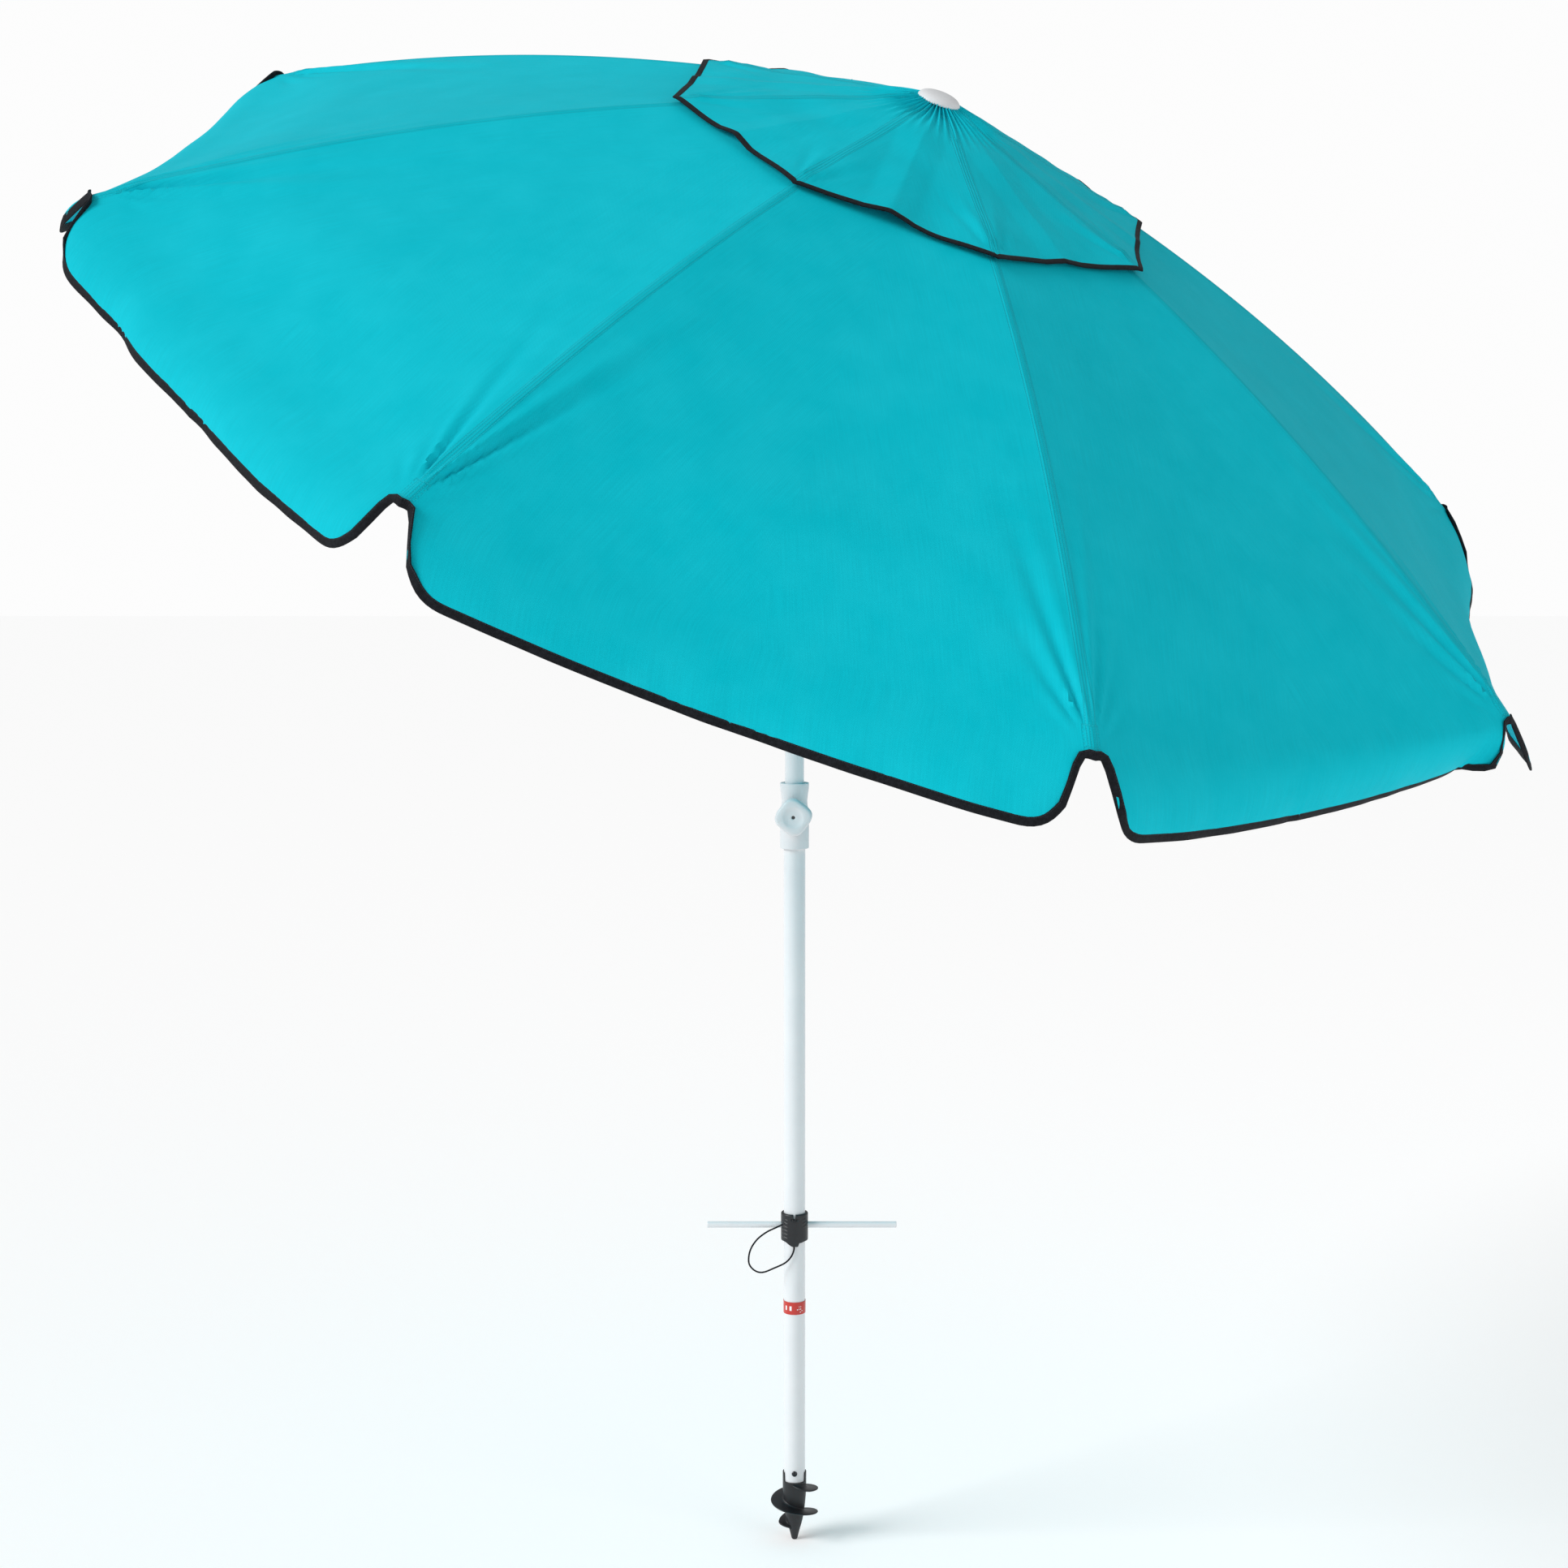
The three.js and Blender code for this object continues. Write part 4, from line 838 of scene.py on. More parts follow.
def awayFromRib(rib, t):  # unit normal of the rib in its own plane
    low = radially(azimuthOf(rib), *ribPlace(t, 0))
    return (clothFrame @ (radially(azimuthOf(rib), *ribPlace(t, 1)) - low)).normalized()


def buildPocket(rib):
    columns, rows = 25, 25

    def pointAt(column, row):
        share = 2 * column / (columns - 1) - 1
        u = row / (rows - 1)
        t = 1 - (0.0008 + pocket["length"] * (1 - u)) / ribLength
        hang = (1 - smooth(abs(share) / 0.92)) * (1 - smooth((u - 1 + pocket["closed"]) / pocket["closed"]))
        puckers = 0.0004 * math.sin(u * 40) * smooth(abs(share) * 1.4)
        under = canopy["thickness"] + 0.0004 + pocket["depth"] * hang + puckers
        place = coverAt(rib, share * pocket["halfWidth"], t, 0)
        return place - awayFromRib(rib, t) * under

    def uvAt(column, row):
        return column * 0.0009 + 0.02, row * 0.0013

    bm = gridOf(columns, rows, pointAt, uvAt)
    bmesh.ops.recalc_face_normals(bm, faces=bm.faces[:])
    bmesh.ops.solidify(bm, geom=bm.faces[:], thickness=pocket["thickness"])
    bmesh.ops.recalc_face_normals(bm, faces=bm.faces[:])
    piece = finishPiece(f"rib_pocket_{rib + 1}", bm, canopyCloth, f"rib_{rib + 1}", 60)
    onRib(piece)
    return piece


def buildTipCap(rib):
    length, radius = tipCap["length"], tipCap["radius"]
    bm = turned(rounded([(0, 0, 0), (radius, 0, 0.001), (radius, -length, 0.0006), (0, -length, 0)]), 24)
    ribEnd = radially(azimuthOf(rib), *ribPlace(1, 0))
    tip = clothFrame @ (ribEnd - radially(azimuthOf(rib), *ribPlace(0.99, 0)))
    place = canopyFrame @ ribEnd + tip.normalized() * tipCap["overlap"]
    bm.transform(Matrix.Translation(place) @ tip.to_track_quat("Z", "Y").to_matrix().to_4x4())
    piece = finishPiece(f"rib_tip_cap_{rib + 1}", bm, whitePlastic, f"rib_{rib + 1}")
    return piece


def trapezoid(first, second, length):
    return (first + second) / 2 * length


openingShare = (canopy["openingRadius"] - canopy["hubRadius"]) / chordRun
clothLength = ribLength * (1 - openingShare)
goreArea = trapezoid(2 * canopy["openingRadius"] * math.sin(halfStep), 2 * halfPanel, clothLength)
goreArea += 2 * halfPanel * canopy["drop"] * 0.9
for rib in range(canopy["ribs"]):
    gore = buildGore(rib)
    sewn = [buildHem(rib), buildPocket(rib)]
    buildTipCap(rib)
print("canopy cloth made")

# Vent: a smaller cover above the opening, gathered round the finial

vent = {
    "innerRadius": 0.015,
    "outerRadius": 0.357,
    "topHeight": 0.606,
    "edgeHeight": 0.513,
    "lift": 0.0014,
    "sag": 0.001,
    "scallop": 0.005,
    "wave": 0.0040,
    "ridge": 0.0050,
    "ridgeHalf": 0.034,
    "drift": 0.0022,
    "creases": [(0.0034, 12, 5, 7), (-0.0026, 27, 7, 9)],  # height, angle, shift and half width in degrees
    "gather": 0.0030,
    "pleats": 3,
    "columns": 24,
    "rows": 44,
    "tape": 0.0076,
}


def ventAt(rib, share, w):  # share of a panel to either side of the rib, w from the cap to the edge
    panel = rib if share >= 0 else rib - 1
    across = share if share >= 0 else 1 + share
    tuck = vent["scallop"] * 4 * across * (1 - across)
    radius = mix(vent["innerRadius"], vent["outerRadius"] - tuck, w)
    height = mix(vent["topHeight"], vent["edgeHeight"], w) + vent["lift"]
    first = radially(azimuthOf(panel), radius, height)
    second = radially(azimuthOf(panel + 1), radius, height)
    place = first.lerp(second, across)
    panelWidth = 2 * radius * math.sin(halfStep)
    number = panel % canopy["ribs"]
    middle = 0.5 + 0.1 * seeded(number * 1.1, 2.2, 0.9)
    fold = max(0.0, 1 - abs(across - middle) * panelWidth / vent["ridgeHalf"])
    rise = -vent["sag"] * 4 * across * (1 - across) * w
    rise += vent["ridge"] * (1 + 0.4 * seeded(number * 2.3, 0.6, 0.2)) * fold * smooth(w * 3)
    for corner, nearby in ((0, across), (1, 1 - across)):
        aside = nearby * panelWidth
        inward = (1 - w) * vent["outerRadius"]
        angle = math.degrees(math.atan2(aside, max(inward, 1e-6)))
        reach = math.hypot(aside, inward)
        chance = seeded(number * 1.7, corner * 3.1, 0.3)
        fade = smooth((reach - 0.008) / 0.03) * (1 - smooth(reach / (0.17 + 0.05 * chance)))
        for swell, middleAngle, shift, halfWidth in vent["creases"]:
            rise += swell * fade * hump(angle, middleAngle + shift * chance, halfWidth)
    turn = vent["pleats"] * 2 * math.pi * across + 2 * seeded(number * 0.9, 1.5, 0.7)
    gathered = 1 - smooth((radius - 0.026) / 0.11)
    rise += vent["gather"] * (1 - 2 * abs(math.sin(turn))) * gathered * smooth((radius - 0.015) / 0.014)
    loose = smooth((w - 0.5) / 0.5)
    rise += vent["wave"] * loose * (0.4 + noise.noise(Vector((number * 3.3 + across * 3.2, 0.3, 4.1))))
    rise += vent["drift"] * noise.noise(place * 17.0) * smooth(w * 4)
    seam = 0.0009 * (smooth(min(across, 1 - across) * panelWidth / 0.0018) - 1)
    return canopyFrame @ (place + Vector((0, 0, rise + seam)))


def ventShares():
    count = vent["columns"]
    half = [0.5 * (1 - (1 - j / count) ** 1.25) for j in range(count + 1)]
    return [-s for s in reversed(half[1:])] + half


def buildVent(rib):
    shares = ventShares()
    rows = vent["rows"]

    def uvAt(column, row):
        w = row / (rows - 1)
        return shares[column] * w * 2 * vent["outerRadius"] * math.sin(halfStep), w * vent["outerRadius"]

    bm = gridOf(len(shares), rows, lambda column, row: ventAt(rib, shares[column], row / (rows - 1)), uvAt)
    bmesh.ops.recalc_face_normals(bm, faces=bm.faces[:])
    if sum(face.normal.dot(clothFrame @ Vector((0, 0, 1))) for face in bm.faces) < 0:
        bmesh.ops.reverse_faces(bm, faces=bm.faces[:])
    bmesh.ops.solidify(bm, geom=bm.faces[:], thickness=canopy["thickness"])
    piece = finishPiece(f"vent_cloth_{rib + 1}", bm, canopyCloth, f"rib_{rib + 1}", 50)
    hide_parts("vent_canopy")
    onRib(piece)
    edge = []
    for share in shares:
        place = ventAt(rib, share, 1)
        across = ventAt(rib, share + 0.02, 1) - ventAt(rib, share - 0.02, 1)
        edge.append((place, (place - ventAt(rib, share, 0.97)).cross(across).normalized()))
    tape = buildBand(f"vent_binding_{rib + 1}", softened(edge), vent["tape"], 0.0012, rib)


for rib in range(canopy["ribs"]):
    buildVent(rib)
print("vent made")


# Hard pieces: each is built afresh, to the sizes of the frame's solids

def hardPiece(name, bm, material, body, node, slot, sharpAngle=35):
    piece = finishPiece(name, bm, material, body, sharpAngle)
    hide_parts(node)
    return piece


def tubeProfile(outer, inner, low, high, edge=0.0004):
    return rounded([
        (inner, low, 0), (outer, low, edge), (outer, high, edge), (inner, high, edge), (inner, low, 0),
    ])


poles = {
    "lower": {"outer": 0.016, "inner": 0.0148, "low": 0.0703, "high": 1.098},
    "upper": {"outer": 0.014, "inner": 0.0128, "low": 0.930, "high": 1.531},
}
hardPiece(
    "lower_tube", turned(tubeProfile(*poles["lower"].values())), whitePaint, "lower_assembly", "lower_pole",
    "white_tube",
)
hardPiece(
    "upper_tube", turned(tubeProfile(*poles["upper"].values())), whitePaint, "upper_assembly", "upper_pole",
    "white_tube",
)

collar = {
    "knobHeight": 1.110,
    "knobAzimuth": 267.5,
    "body": [
        (0.0163, 1.0600, 0), (0.0213, 1.0600, 0.0012), (0.0213, 1.1120, 0.007), (0.0188, 1.1275, 0.008),
        (0.0189, 1.1330, 0.012), (0.0213, 1.1500, 0.005), (0.0213, 1.1570, 0.0014), (0.0196, 1.1570, 0.0003),
        (0.0193, 1.1562, 0.0003), (0.0144, 1.1562, 0.0006), (0.0144, 1.0983, 0), (0.0163, 1.0983, 0),
        (0.0163, 1.0600, 0),
    ],
    "boss": [
        (0.0000, 0.0150, 0), (0.0150, 0.0150, 0), (0.0150, 0.0180, 0.002), (0.0121, 0.0215, 0.002),
        (0.0120, 0.0258, 0.0006), (0.0068, 0.0258, 0.0003), (0.0068, 0.0198, 0), (0.0000, 0.0198, 0),
    ],
}
towardsKnob = (
    Matrix.Translation((0, 0, collar["knobHeight"]))
    @ Matrix.Rotation(math.radians(collar["knobAzimuth"]), 4, "Z")
    @ alongX
)
hardPiece(
    "collar_body", turned(rounded(collar["body"])), whitePlastic, "lower_assembly", "height_collar",
    "white_plastic",
)
hardPiece(
    "collar_boss", turned(rounded(collar["boss"]), 64, towardsKnob), whitePlastic, "lower_assembly",
    "height_collar", "white_plastic",
)

knob = {
    "half": 0.024,
    "squareness": 3.3,
    "turn": 53.0,
    # Each station: how far inside the outline, height, share of the outline, radius of the circle
    "stations": [
        (0, 0.0270, 0, 0.0043), (0.006, 0.0270, 1, 0), (0.0016, 0.0270, 1, 0), (0.0005, 0.0275, 1, 0),
        (0, 0.0286, 1, 0), (0, 0.0340, 1, 0), (0, 0.0395, 1, 0), (0.0004, 0.0412, 1, 0),
        (0.0014, 0.0427, 1, 0), (0.0030, 0.0436, 1, 0), (0.0048, 0.0440, 1, 0),
        (0.0064, 0.0441, 0.6, 0.0166), (0, 0.04402, 0, 0.0158),
        (0, 0.0437, 0, 0.0148), (0, 0.0430, 0, 0.0132), (0, 0.0422, 0, 0.0110), (0, 0.0417, 0, 0.0080),
        (0, 0.0415, 0, 0.0050), (0, 0.04148, 0, 0.0031), (0, 0.0411, 0, 0.0027), (0, 0.0390, 0, 0.0026),
        (0, 0.0389, 0, 0.0043),
    ],
}


def buildKnob():
    stations = knob["stations"]
    steps = 128

    def pointAt(column, row):
        angle = 2 * math.pi * column / steps
        inset, height, share, circle = stations[row % len(stations)]
        power = knob["squareness"]
        square = knob["half"] / (abs(math.cos(angle)) ** power + abs(math.sin(angle)) ** power) ** (1 / power)
        radius = mix(circle, square - inset, share)
        around = angle + math.radians(knob["turn"])
        return Vector((radius * math.cos(around), radius * math.sin(around), height))

    bm = gridOf(steps + 1, len(stations) + 1, pointAt)
    bmesh.ops.remove_doubles(bm, verts=bm.verts[:], dist=1e-6)
    bmesh.ops.recalc_face_normals(bm, faces=bm.faces[:])
    bm.transform(towardsKnob)
    hardPiece("knob_body", bm, whitePlastic, "knob", "height_knob", "white_plastic", 45)


buildKnob()
# painted shade: the stud takes the dark steel finish so that its end reads dark at the bottom of the knob's
# eye
stud = [(0, 0.0144, 0), (0.0040, 0.0144, 0.0003), (0.0040, 0.0387, 0.0006), (0, 0.0387, 0)]
hardPiece(
    "stud_rod", turned(rounded(stud), 48, towardsKnob), darkSteelAndEyeShade, "knob", "knob_stud", "bare_steel",
)

handle = {"radius": 0.00475, "half": 0.142, "shift": 0.011, "height": 0.490, "end": 0.0013}
handleRod = [
    (0, -handle["half"], 0), (handle["radius"], -handle["half"], handle["end"]),
    (handle["radius"], handle["half"], handle["end"]), (0, handle["half"], 0),
]
handlePlace = Matrix.Translation((handle["shift"], 0, handle["height"])) @ alongX
hardPiece(
    "cross_rod", turned(rounded(handleRod), 64, handlePlace), whitePaint, "cross_handle", "t_handle",
    "white_tube",
)

holder = {
    "outer": 0.0203,
    "inner": 0.0163,
    "low": 0.4675,
    "high": 0.5100,
    "lobe": 0.0066,
    "notchHalf": 0.0011,
    "notchDepth": 0.0072,
    "ridge": 0.0007,
    "ridgePitch": 0.0056,
    "dotOffset": 0.0036,
    "dotHeight": 0.5026,
    "dotRadius": 0.0017,
    "rim": [  # outwards from the sleeve's outside, and up from its top
        (-0.0004, -0.0011), (-0.0014, -0.0003), (-0.0026, 0.0), (-0.004, -0.0006), (-0.004, -0.030),
    ],
}


def holderTop(offset):  # offset is the distance round the sleeve from its front
    gapShare = 1 - smooth((abs(offset) - holder["notchHalf"]) / 0.0012)
    return holder["high"] - holder["notchDepth"] * gapShare


def holderBottom(offset):
    angle = math.degrees(offset / holder["outer"])
    left = 1 - smooth((-angle - 6) / 44)
    right = 1 - smooth((angle - 14) / 9) * 0.8 - smooth((angle - 24) / 30) * 0.2
    return holder["low"] - holder["lobe"] * (left if angle < 0 else right)


def holderRelief(offset, height):
    angle = math.degrees(offset / holder["outer"])
    rise = 0.0
    slant = height + (angle + 50) * 0.000095
    wave = 0.5 + 0.5 * math.cos(2 * math.pi * (slant - 0.4745) / holder["ridgePitch"])
    onLeft = hump(angle, -46, 30) * smooth((height - 0.470) / 0.004) * smooth((0.503 - height) / 0.003)
    rise += holder["ridge"] * wave ** 3 * smooth(onLeft * 1.6)
    slant = height - (angle - 50) * 0.0001
    wave = 0.5 + 0.5 * math.cos(2 * math.pi * (slant - 0.502) / holder["ridgePitch"])
    onRight = hump(angle, 44, 22) * smooth((height - 0.488) / 0.004) * smooth((0.505 - height) / 0.003)
    rise += holder["ridge"] * 0.6 * wave ** 3 * smooth(onRight * 1.6)
    for side in (-1, 1):
        away = math.hypot(offset - side * holder["dotOffset"], height - holder["dotHeight"])
        rise -= 0.0013 * (1 - smooth((away - holder["dotRadius"] * 0.6) / (holder["dotRadius"] * 0.5)))
    ring = abs(math.hypot(offset * 0.62, height - 0.5035) - 0.0046)
    if height < 0.5035:
        rise += 0.0004 * (1 - smooth(ring / 0.0007))
    return rise


def buildHolder():
    steps, rows = 288, 92

    def pointAt(column, row):
        angle = 2 * math.pi * column / steps - math.pi
        offset = angle * holder["outer"]
        top, bottom = holderTop(offset), holderBottom(offset)
        sides = [
            (holder["inner"], bottom), (holder["outer"] - 0.0012, bottom),
            (holder["outer"] - 0.0003, bottom + 0.0004),
        ]
        if row < len(sides):
            radius, height = sides[row]
        elif row < rows:
            height = mix(bottom + 0.0012, top - 0.0022, (row - len(sides)) / (rows - 1 - len(sides)))
            radius = holder["outer"] + holderRelief(offset, height)
        else:
            inset, drop = holder["rim"][row - rows]
            radius, height = holder["outer"] + inset, top + drop
        turn = angle - math.pi / 2
        return Vector((radius * math.cos(turn), radius * math.sin(turn), height))

    bm = gridOf(steps + 1, rows + 5, pointAt)
    bmesh.ops.remove_doubles(bm, verts=bm.verts[:], dist=1e-6)
    bmesh.ops.bridge_loops(bm, edges=[e for e in bm.edges if e.is_boundary])
    bmesh.ops.recalc_face_normals(bm, faces=bm.faces[:])
    hardPiece("holder_sleeve", bm, blackPlastic, "lower_assembly", "handle_holder", "black_plastic", 60)


buildHolder()

band = {
    "height": 0.365,
    "half": 0.0095,
    "inner": 0.0163,
    "outer": 0.0167,
    "marks": [  # azimuth from the front, height, half angle and half height
        (-47.7, 0.0, 5.2, 0.0036), (-21.0, 0.0, 6.2, 0.0037), (25.4, 0.0024, 2.2, 0.0007),
        (34.7, 0.0024, 2.2, 0.0007), (15.5, -0.0018, 2.4, 0.0009), (25.0, -0.0012, 1.8, 0.0010),
        (34.0, -0.0012, 2.2, 0.0011), (32.0, -0.0058, 3.4, 0.0006), (42.0, -0.0040, 3.2, 0.0006),
    ],
}


def buildPrint():  # red printed band with pale marks
    material, shader = newMaterial("red print", (0.5, 0.022, 0.014), 0.34)
    tree = material.node_tree
    place = addNode(tree, "ShaderNodeTexCoord").outputs["Object"]
    split = addNode(tree, "ShaderNodeSeparateXYZ")
    feed(tree, split, 0, place)
    backwards = doMath(tree, "MULTIPLY", split.outputs["Y"], -1.0)
    angle = doMath(tree, "ARCTAN2", split.outputs["X"], backwards)
    height = doMath(tree, "SUBTRACT", split.outputs["Z"], band["height"])
    marked = None
    for azimuth, up, halfAngle, halfHeight in band["marks"]:
        aside = doMath(tree, "ABSOLUTE", doMath(tree, "SUBTRACT", angle, math.radians(azimuth)))
        above = doMath(tree, "ABSOLUTE", doMath(tree, "SUBTRACT", height, up))
        across = doMath(tree, "DIVIDE", aside, math.radians(halfAngle))
        along = doMath(tree, "DIVIDE", above, halfHeight)
        inside = rescale(tree, doMath(tree, "MAXIMUM", across, along), 0.85, 1.0, 1.0, 0.0)
        marked = inside if marked is None else doMath(tree, "MAXIMUM", marked, inside)
    grain = placeGroup(tree, grainGroup, Vector=place, Scale=1500.0)
    scuffs = placeGroup(tree, scuffGroup, Vector=place, Amount=0.25)
    tone = rescale(tree, grain.outputs["Drift"], 0.3, 0.7, 0.0, 1.0)
    red = blendColours(tree, tone, (0.5, 0.02, 0.013, 1), (0.58, 0.03, 0.018, 1))
    worn = blendColours(tree, scuffs.outputs[0], red, (0.62, 0.2, 0.18, 1))
    feed(tree, shader, "Base Color", blendColours(tree, marked, worn, (0.82, 0.86, 0.86, 1)))
    shader.inputs["Coat Weight"].default_value = 0.25
    shader.inputs["Coat Roughness"].default_value = 0.2
    addBump(tree, shader, grain.outputs["Grain"], 0.15, 0.0002)
    return material


bandSection = tubeProfile(
    band["outer"], band["inner"], band["height"] - band["half"], band["height"] + band["half"], 0.00015
)
hardPiece("printed_band", turned(bandSection), buildPrint(), "lower_assembly", "depth_band", "red_print")
print("pole pieces made")

# Sand anchor: a pointed core with a socket, and a blade that winds down round it

anchor = {
    "socketInner": 0.0163,
    "socketOuter": 0.0179,
    "socketFloor": 0.070,
    "frontTop": 0.094,
    "sideTop": 0.107,
    "tabHalf": 28.0,
    "plug": 0.0145,
    "plugTop": 0.124,
    "core": [
        (0, 0, 0), (0.0035, 0, 0.001), (0.0046, 0.0018, 0.0015), (0.0070, 0.012, 0.008),
        (0.0130, 0.033, 0.012), (0.0160, 0.055, 0.014), (0.0179, 0.078, 0.012),
    ],
    "bladeRadius": 0.036,
    "pitch": 0.0365,
    "startAngle": 262.0,
    "endAngle": 955.0,
    "startHeight": 0.090,
    "rootHalf": 0.0021,
    "edgeHalf": 0.0010,
    "fillet": 0.0022,
    "steps": 230,
}


def coreRadius(height):
    corners = anchor["core"]
    for (r0, z0, _), (r1, z1, _) in zip(corners[1:], corners[2:]):
        if height <= z1:
            return r0 + (r1 - r0) * (height - z0) / (z1 - z0)
    return anchor["socketOuter"]


def buildAnchorCore():
    outside = rounded(anchor["core"] + [(anchor["socketOuter"], 0.092, 0)], 5)
    steps = 144

    def pointAt(column, row):
        angle = 2 * math.pi * column / steps
        aside = abs((math.degrees(angle) + 90) % 180 - 90)
        top = mix(anchor["sideTop"], anchor["frontTop"], smooth((aside - anchor["tabHalf"] + 2) / 4))
        inner, outer, plug = anchor["socketInner"], anchor["socketOuter"], anchor["plug"]
        rest = [
            (outer, top - 0.0005), (outer - 0.0003, top), (inner + 0.0003, top), (inner, top - 0.0005),
            (inner, anchor["socketFloor"]), (plug, anchor["socketFloor"]), (plug, anchor["plugTop"] - 0.002),
            (plug - 0.002, anchor["plugTop"]), (0, anchor["plugTop"]),
        ]
        radius, height = outside[row] if row < len(outside) else rest[row - len(outside)]
        return Vector((radius * math.cos(angle), radius * math.sin(angle), height))

    bm = gridOf(steps + 1, len(outside) + 9, pointAt)
    bmesh.ops.remove_doubles(bm, verts=bm.verts[:], dist=1e-6)
    bmesh.ops.recalc_face_normals(bm, faces=bm.faces[:])
    hardPiece("anchor_core", bm, blackPlastic, "lower_assembly", "sand_anchor", "black_plastic", 40)


def buildAnchorBlade():
    shares = [0.0, 0.05, 0.1, 0.16, 0.24, 0.4, 0.6, 0.8, 0.93, 0.98]
    loop = [(s, 1) for s in shares] + [(1.0, 0)] + [(s, -1) for s in reversed(shares)]
    steps = anchor["steps"]

    def pointAt(column, row):
        degrees = mix(anchor["startAngle"], anchor["endAngle"], row / steps)
        height = anchor["startHeight"] - anchor["pitch"] * (degrees - anchor["startAngle"]) / 360
        core = coreRadius(height)
        opening = smooth((degrees - anchor["startAngle"] + 8) / 60)
        narrowing = 1 - 0.32 * smooth((degrees - 700) / 200)
        closing = smooth((anchor["endAngle"] + 6 - degrees) / 70)
        outer = core + 0.0008 + (anchor["bladeRadius"] * narrowing - core - 0.0008) * opening * closing
        share, side = loop[column % len(loop)]
        radius = mix(core - 0.001, outer, share)
        half = mix(anchor["rootHalf"], anchor["edgeHalf"], share)
        half += anchor["fillet"] * max(0.0, 1 - (radius - core) / 0.003) ** 2 * opening * closing
        half *= 0.8 if share == 0.98 else 1
        turn = math.radians(degrees)
        return Vector((radius * math.cos(turn), radius * math.sin(turn), height + side * half))

    bm = gridOf(len(loop) + 1, steps + 1, pointAt)
    bmesh.ops.remove_doubles(bm, verts=bm.verts[:], dist=1e-6)
    bmesh.ops.holes_fill(bm, edges=[e for e in bm.edges if e.is_boundary])
    bmesh.ops.recalc_face_normals(bm, faces=bm.faces[:])
    hardPiece("anchor_blade", bm, blackPlastic, "lower_assembly", "sand_anchor", "black_plastic", 50)


buildAnchorCore()
buildAnchorBlade()

screw = {"radius": 0.0042, "height": 0.0024, "shank": 0.0019, "depth": 0.0085, "at": 0.108, "out": 0.0163}


def buildScrew():  # domed head with a cross recess
    steps = 96
    rings = [(0.3 + 0.2 * i) / 4.2 * screw["radius"] for i in range(19)]

    def pointAt(column, row):
        angle = 2 * math.pi * column / steps
        shank, depth = screw["shank"], screw["depth"]
        tail = [(screw["radius"], 0.0), (shank, 0.0), (shank, depth), (0, depth)]
        if row == 0:
            radius, height = 0, -screw["height"] + 0.0011
        elif row <= len(rings):
            radius = rings[row - 1]
            height = -screw["height"] + 0.0016 * (radius / screw["radius"]) ** 2.4
            x, y = abs(radius * math.cos(angle)), abs(radius * math.sin(angle))
            arm = (1 - smooth((min(x, y) - 0.0004) / 0.0004)) * (1 - smooth((max(x, y) - 0.0021) / 0.0005))
            height += 0.0011 * arm
        else:
            radius, height = tail[row - 1 - len(rings)]
        return Vector((radius * math.cos(angle), radius * math.sin(angle), height))

    bm = gridOf(steps + 1, len(rings) + 5, pointAt)
    bmesh.ops.remove_doubles(bm, verts=bm.verts[:], dist=1e-6)
    bmesh.ops.recalc_face_normals(bm, faces=bm.faces[:])
    towardsPole = Matrix.Rotation(math.radians(-90), 4, "X")
    bm.transform(Matrix.Translation((0, -screw["out"], screw["at"])) @ towardsPole)
    hardPiece("anchor_screw_head", bm, darkSteelAndEyeShade, "lower_assembly", "anchor_screw", "bare_steel", 40)


buildScrew()

finialCap = [
    (0, 0.5820, 0), (0.0110, 0.5820, 0.0004), (0.0110, 0.6023, 0), (0.0132, 0.6023, 0),
    (0.0132, 0.6079, 0.001), (0.0300, 0.6033, 0.0008), (0.0300, 0.6058, 0.0022),
    (0.0262, 0.6106, 0.004), (0.0190, 0.6136, 0.005), (0.0090, 0.6151, 0.005), (0, 0.6153, 0),
]
hardPiece(
    "finial_cap", turned(rounded(finialCap), 128, canopyFrame), whitePlastic, "canopy_mast", "finial",
    "white_plastic",
)
print("anchor and finial made")

# The rest of the frame: copies of the solids, merged, softened and finished

carried = [
    {"slot": "white_tube", "material": whitePaint, "angle": 35, "nodes": ["canopy_pole"]},
    {"slot": "white_plastic", "material": whitePlastic, "angle": 35, "nodes": ["crown_hub", "runner"]},
    {"slot": "white_plastic", "material": whitePlastic, "angle": 35,
     "nodes": ["tilt_lower_fitting", "tilt_upper_fitting"]},
    {"slot": "black_plastic", "material": blackPlastic, "angle": 35,
     "nodes": ["upper_pole_glide", "tilt_button"]},
    {"slot": "brass", "material": brass, "angle": 35, "nodes": ["clamp_nut"]},
    {"slot": "bare_steel", "material": bareSteel, "angle": 50,
     "nodes": ["tilt_button_spring", "tilt_pin", "crown_wire", "runner_wire", "runner_latch"]},
    {"slot": "white_rib", "material": whiteRibPaint, "angle": 50, "nodes": [f"rib_{k}" for k in range(1, 9)]},
    {"slot": "white_tube", "material": whiteRibPaint, "angle": 50,
     "nodes": [f"stretcher_{k}" for k in range(1, 9)]},
    {"slot": "bare_steel", "material": bareSteel, "angle": 40,
     "nodes": [f"rib_rivet_{k}" for k in range(1, 9)]},
]
bodyOfNode = {}
for bodyName, bodyNodes in frame["record"]["behaviour"]["bodies"].items():
    for nodeName in bodyNodes:
        bodyOfNode[nodeName] = bodyName


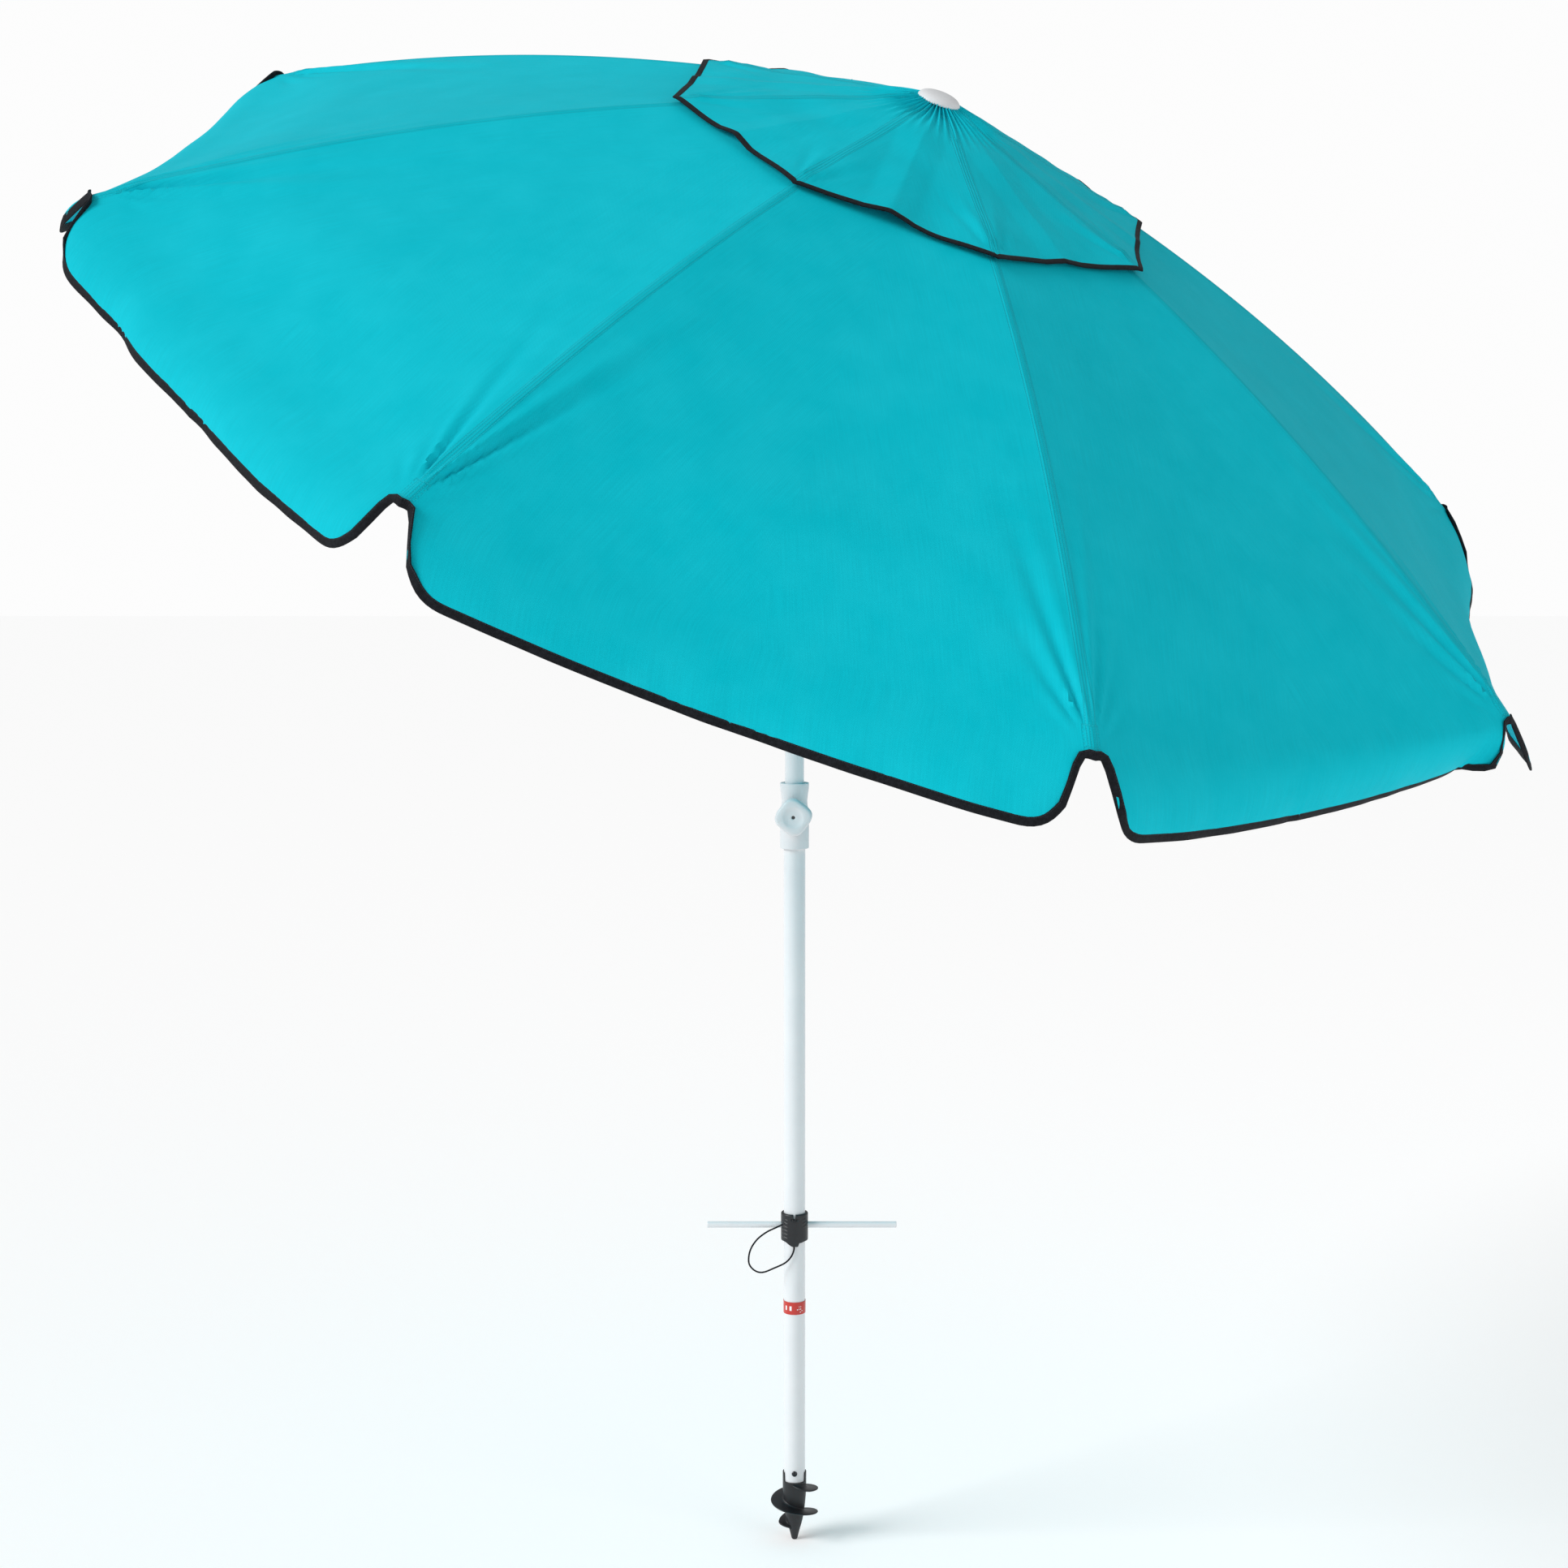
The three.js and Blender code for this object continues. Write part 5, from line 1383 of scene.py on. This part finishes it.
def carryOver(node, group):
    bm = bmesh.new()
    bm.from_mesh(frame["nodes"][node].data)
    bm.transform(frame["nodes"][node].matrix_world)
    bmesh.ops.remove_doubles(bm, verts=bm.verts[:], dist=2e-6)
    bmesh.ops.dissolve_limit(bm, angle_limit=math.radians(0.5), verts=bm.verts[:], edges=bm.edges[:])
    bmesh.ops.recalc_face_normals(bm, faces=bm.faces[:])
    body = bodyOfNode[node]
    hardPiece(f"{node}_finished", bm, group["material"], body, node, group["slot"], group["angle"])


for group in carried:
    for node in group["nodes"]:
        carryOver(node, group)
print("frame pieces finished")

# Light and floor

studio = {
    "world": 0.42,
    "seen": 0.98,
    "floorSize": 60.0,
    "floorColour": (0.9, 0.9, 0.9),
    "floorGlow": 0.215,
    "sun": {"power": 2.35, "angle": 30.0, "from": (-4.0, -1.5, 3.7)},
    "lamps": [  # name, place, size, power
        ("fill", (4.4, -4.2, 2.6), 3.5, 60.0),
    ],
}


def aimAt(thing, target):
    aim = Vector(target) - thing.location
    thing.rotation_euler = aim.to_track_quat("-Z", "Y").to_euler()


def buildStudio():
    world = bpy.data.worlds.new("studio")
    world.use_nodes = True
    tree = world.node_tree
    lit = tree.nodes["Background"]
    lit.inputs[0].default_value = (1, 1, 1, 1)
    lit.inputs[1].default_value = studio["world"]
    seen = addNode(tree, "ShaderNodeBackground")
    seen.inputs[0].default_value = (1, 1, 1, 1)
    seen.inputs[1].default_value = studio["seen"]
    ray = addNode(tree, "ShaderNodeLightPath")
    choose = addNode(tree, "ShaderNodeMixShader")
    tree.links.new(ray.outputs["Is Camera Ray"], choose.inputs[0])
    tree.links.new(lit.outputs[0], choose.inputs[1])
    tree.links.new(seen.outputs[0], choose.inputs[2])
    tree.links.new(choose.outputs[0], tree.nodes["World Output"].inputs[0])
    scene.world = world
    sunLight = bpy.data.lights.new("sun", "SUN")
    sunLight.energy = studio["sun"]["power"]
    sunLight.angle = math.radians(studio["sun"]["angle"])
    sun = bpy.data.objects.new("sun", sunLight)
    sun.location = studio["sun"]["from"]
    scene.collection.objects.link(sun)
    aimAt(sun, (0, 0, 1.0))
    for name, place, size, power in studio["lamps"]:
        light = bpy.data.lights.new(name, "AREA")
        light.size = size
        light.energy = power
        lamp = bpy.data.objects.new(name, light)
        lamp.location = place
        scene.collection.objects.link(lamp)
        aimAt(lamp, (0, 0, 1.3))
    bm = bmesh.new()
    bmesh.ops.create_grid(bm, x_segments=8, y_segments=8, size=studio["floorSize"] / 2)
    mesh = bpy.data.meshes.new("floor")
    bm.to_mesh(mesh)
    bm.free()
    floor = bpy.data.objects.new("floor", mesh)
    scene.collection.objects.link(floor)
    material, shader = newMaterial("pale floor", studio["floorColour"], 0.9)
    shader.inputs["Specular IOR Level"].default_value = 0.0
    shader.inputs["Emission Color"].default_value = (1, 1, 1, 1)
    shader.inputs["Emission Strength"].default_value = studio["floorGlow"]
    mesh.materials.append(material)
    scene.view_settings.view_transform = "Standard"


buildStudio()
print("studio made")
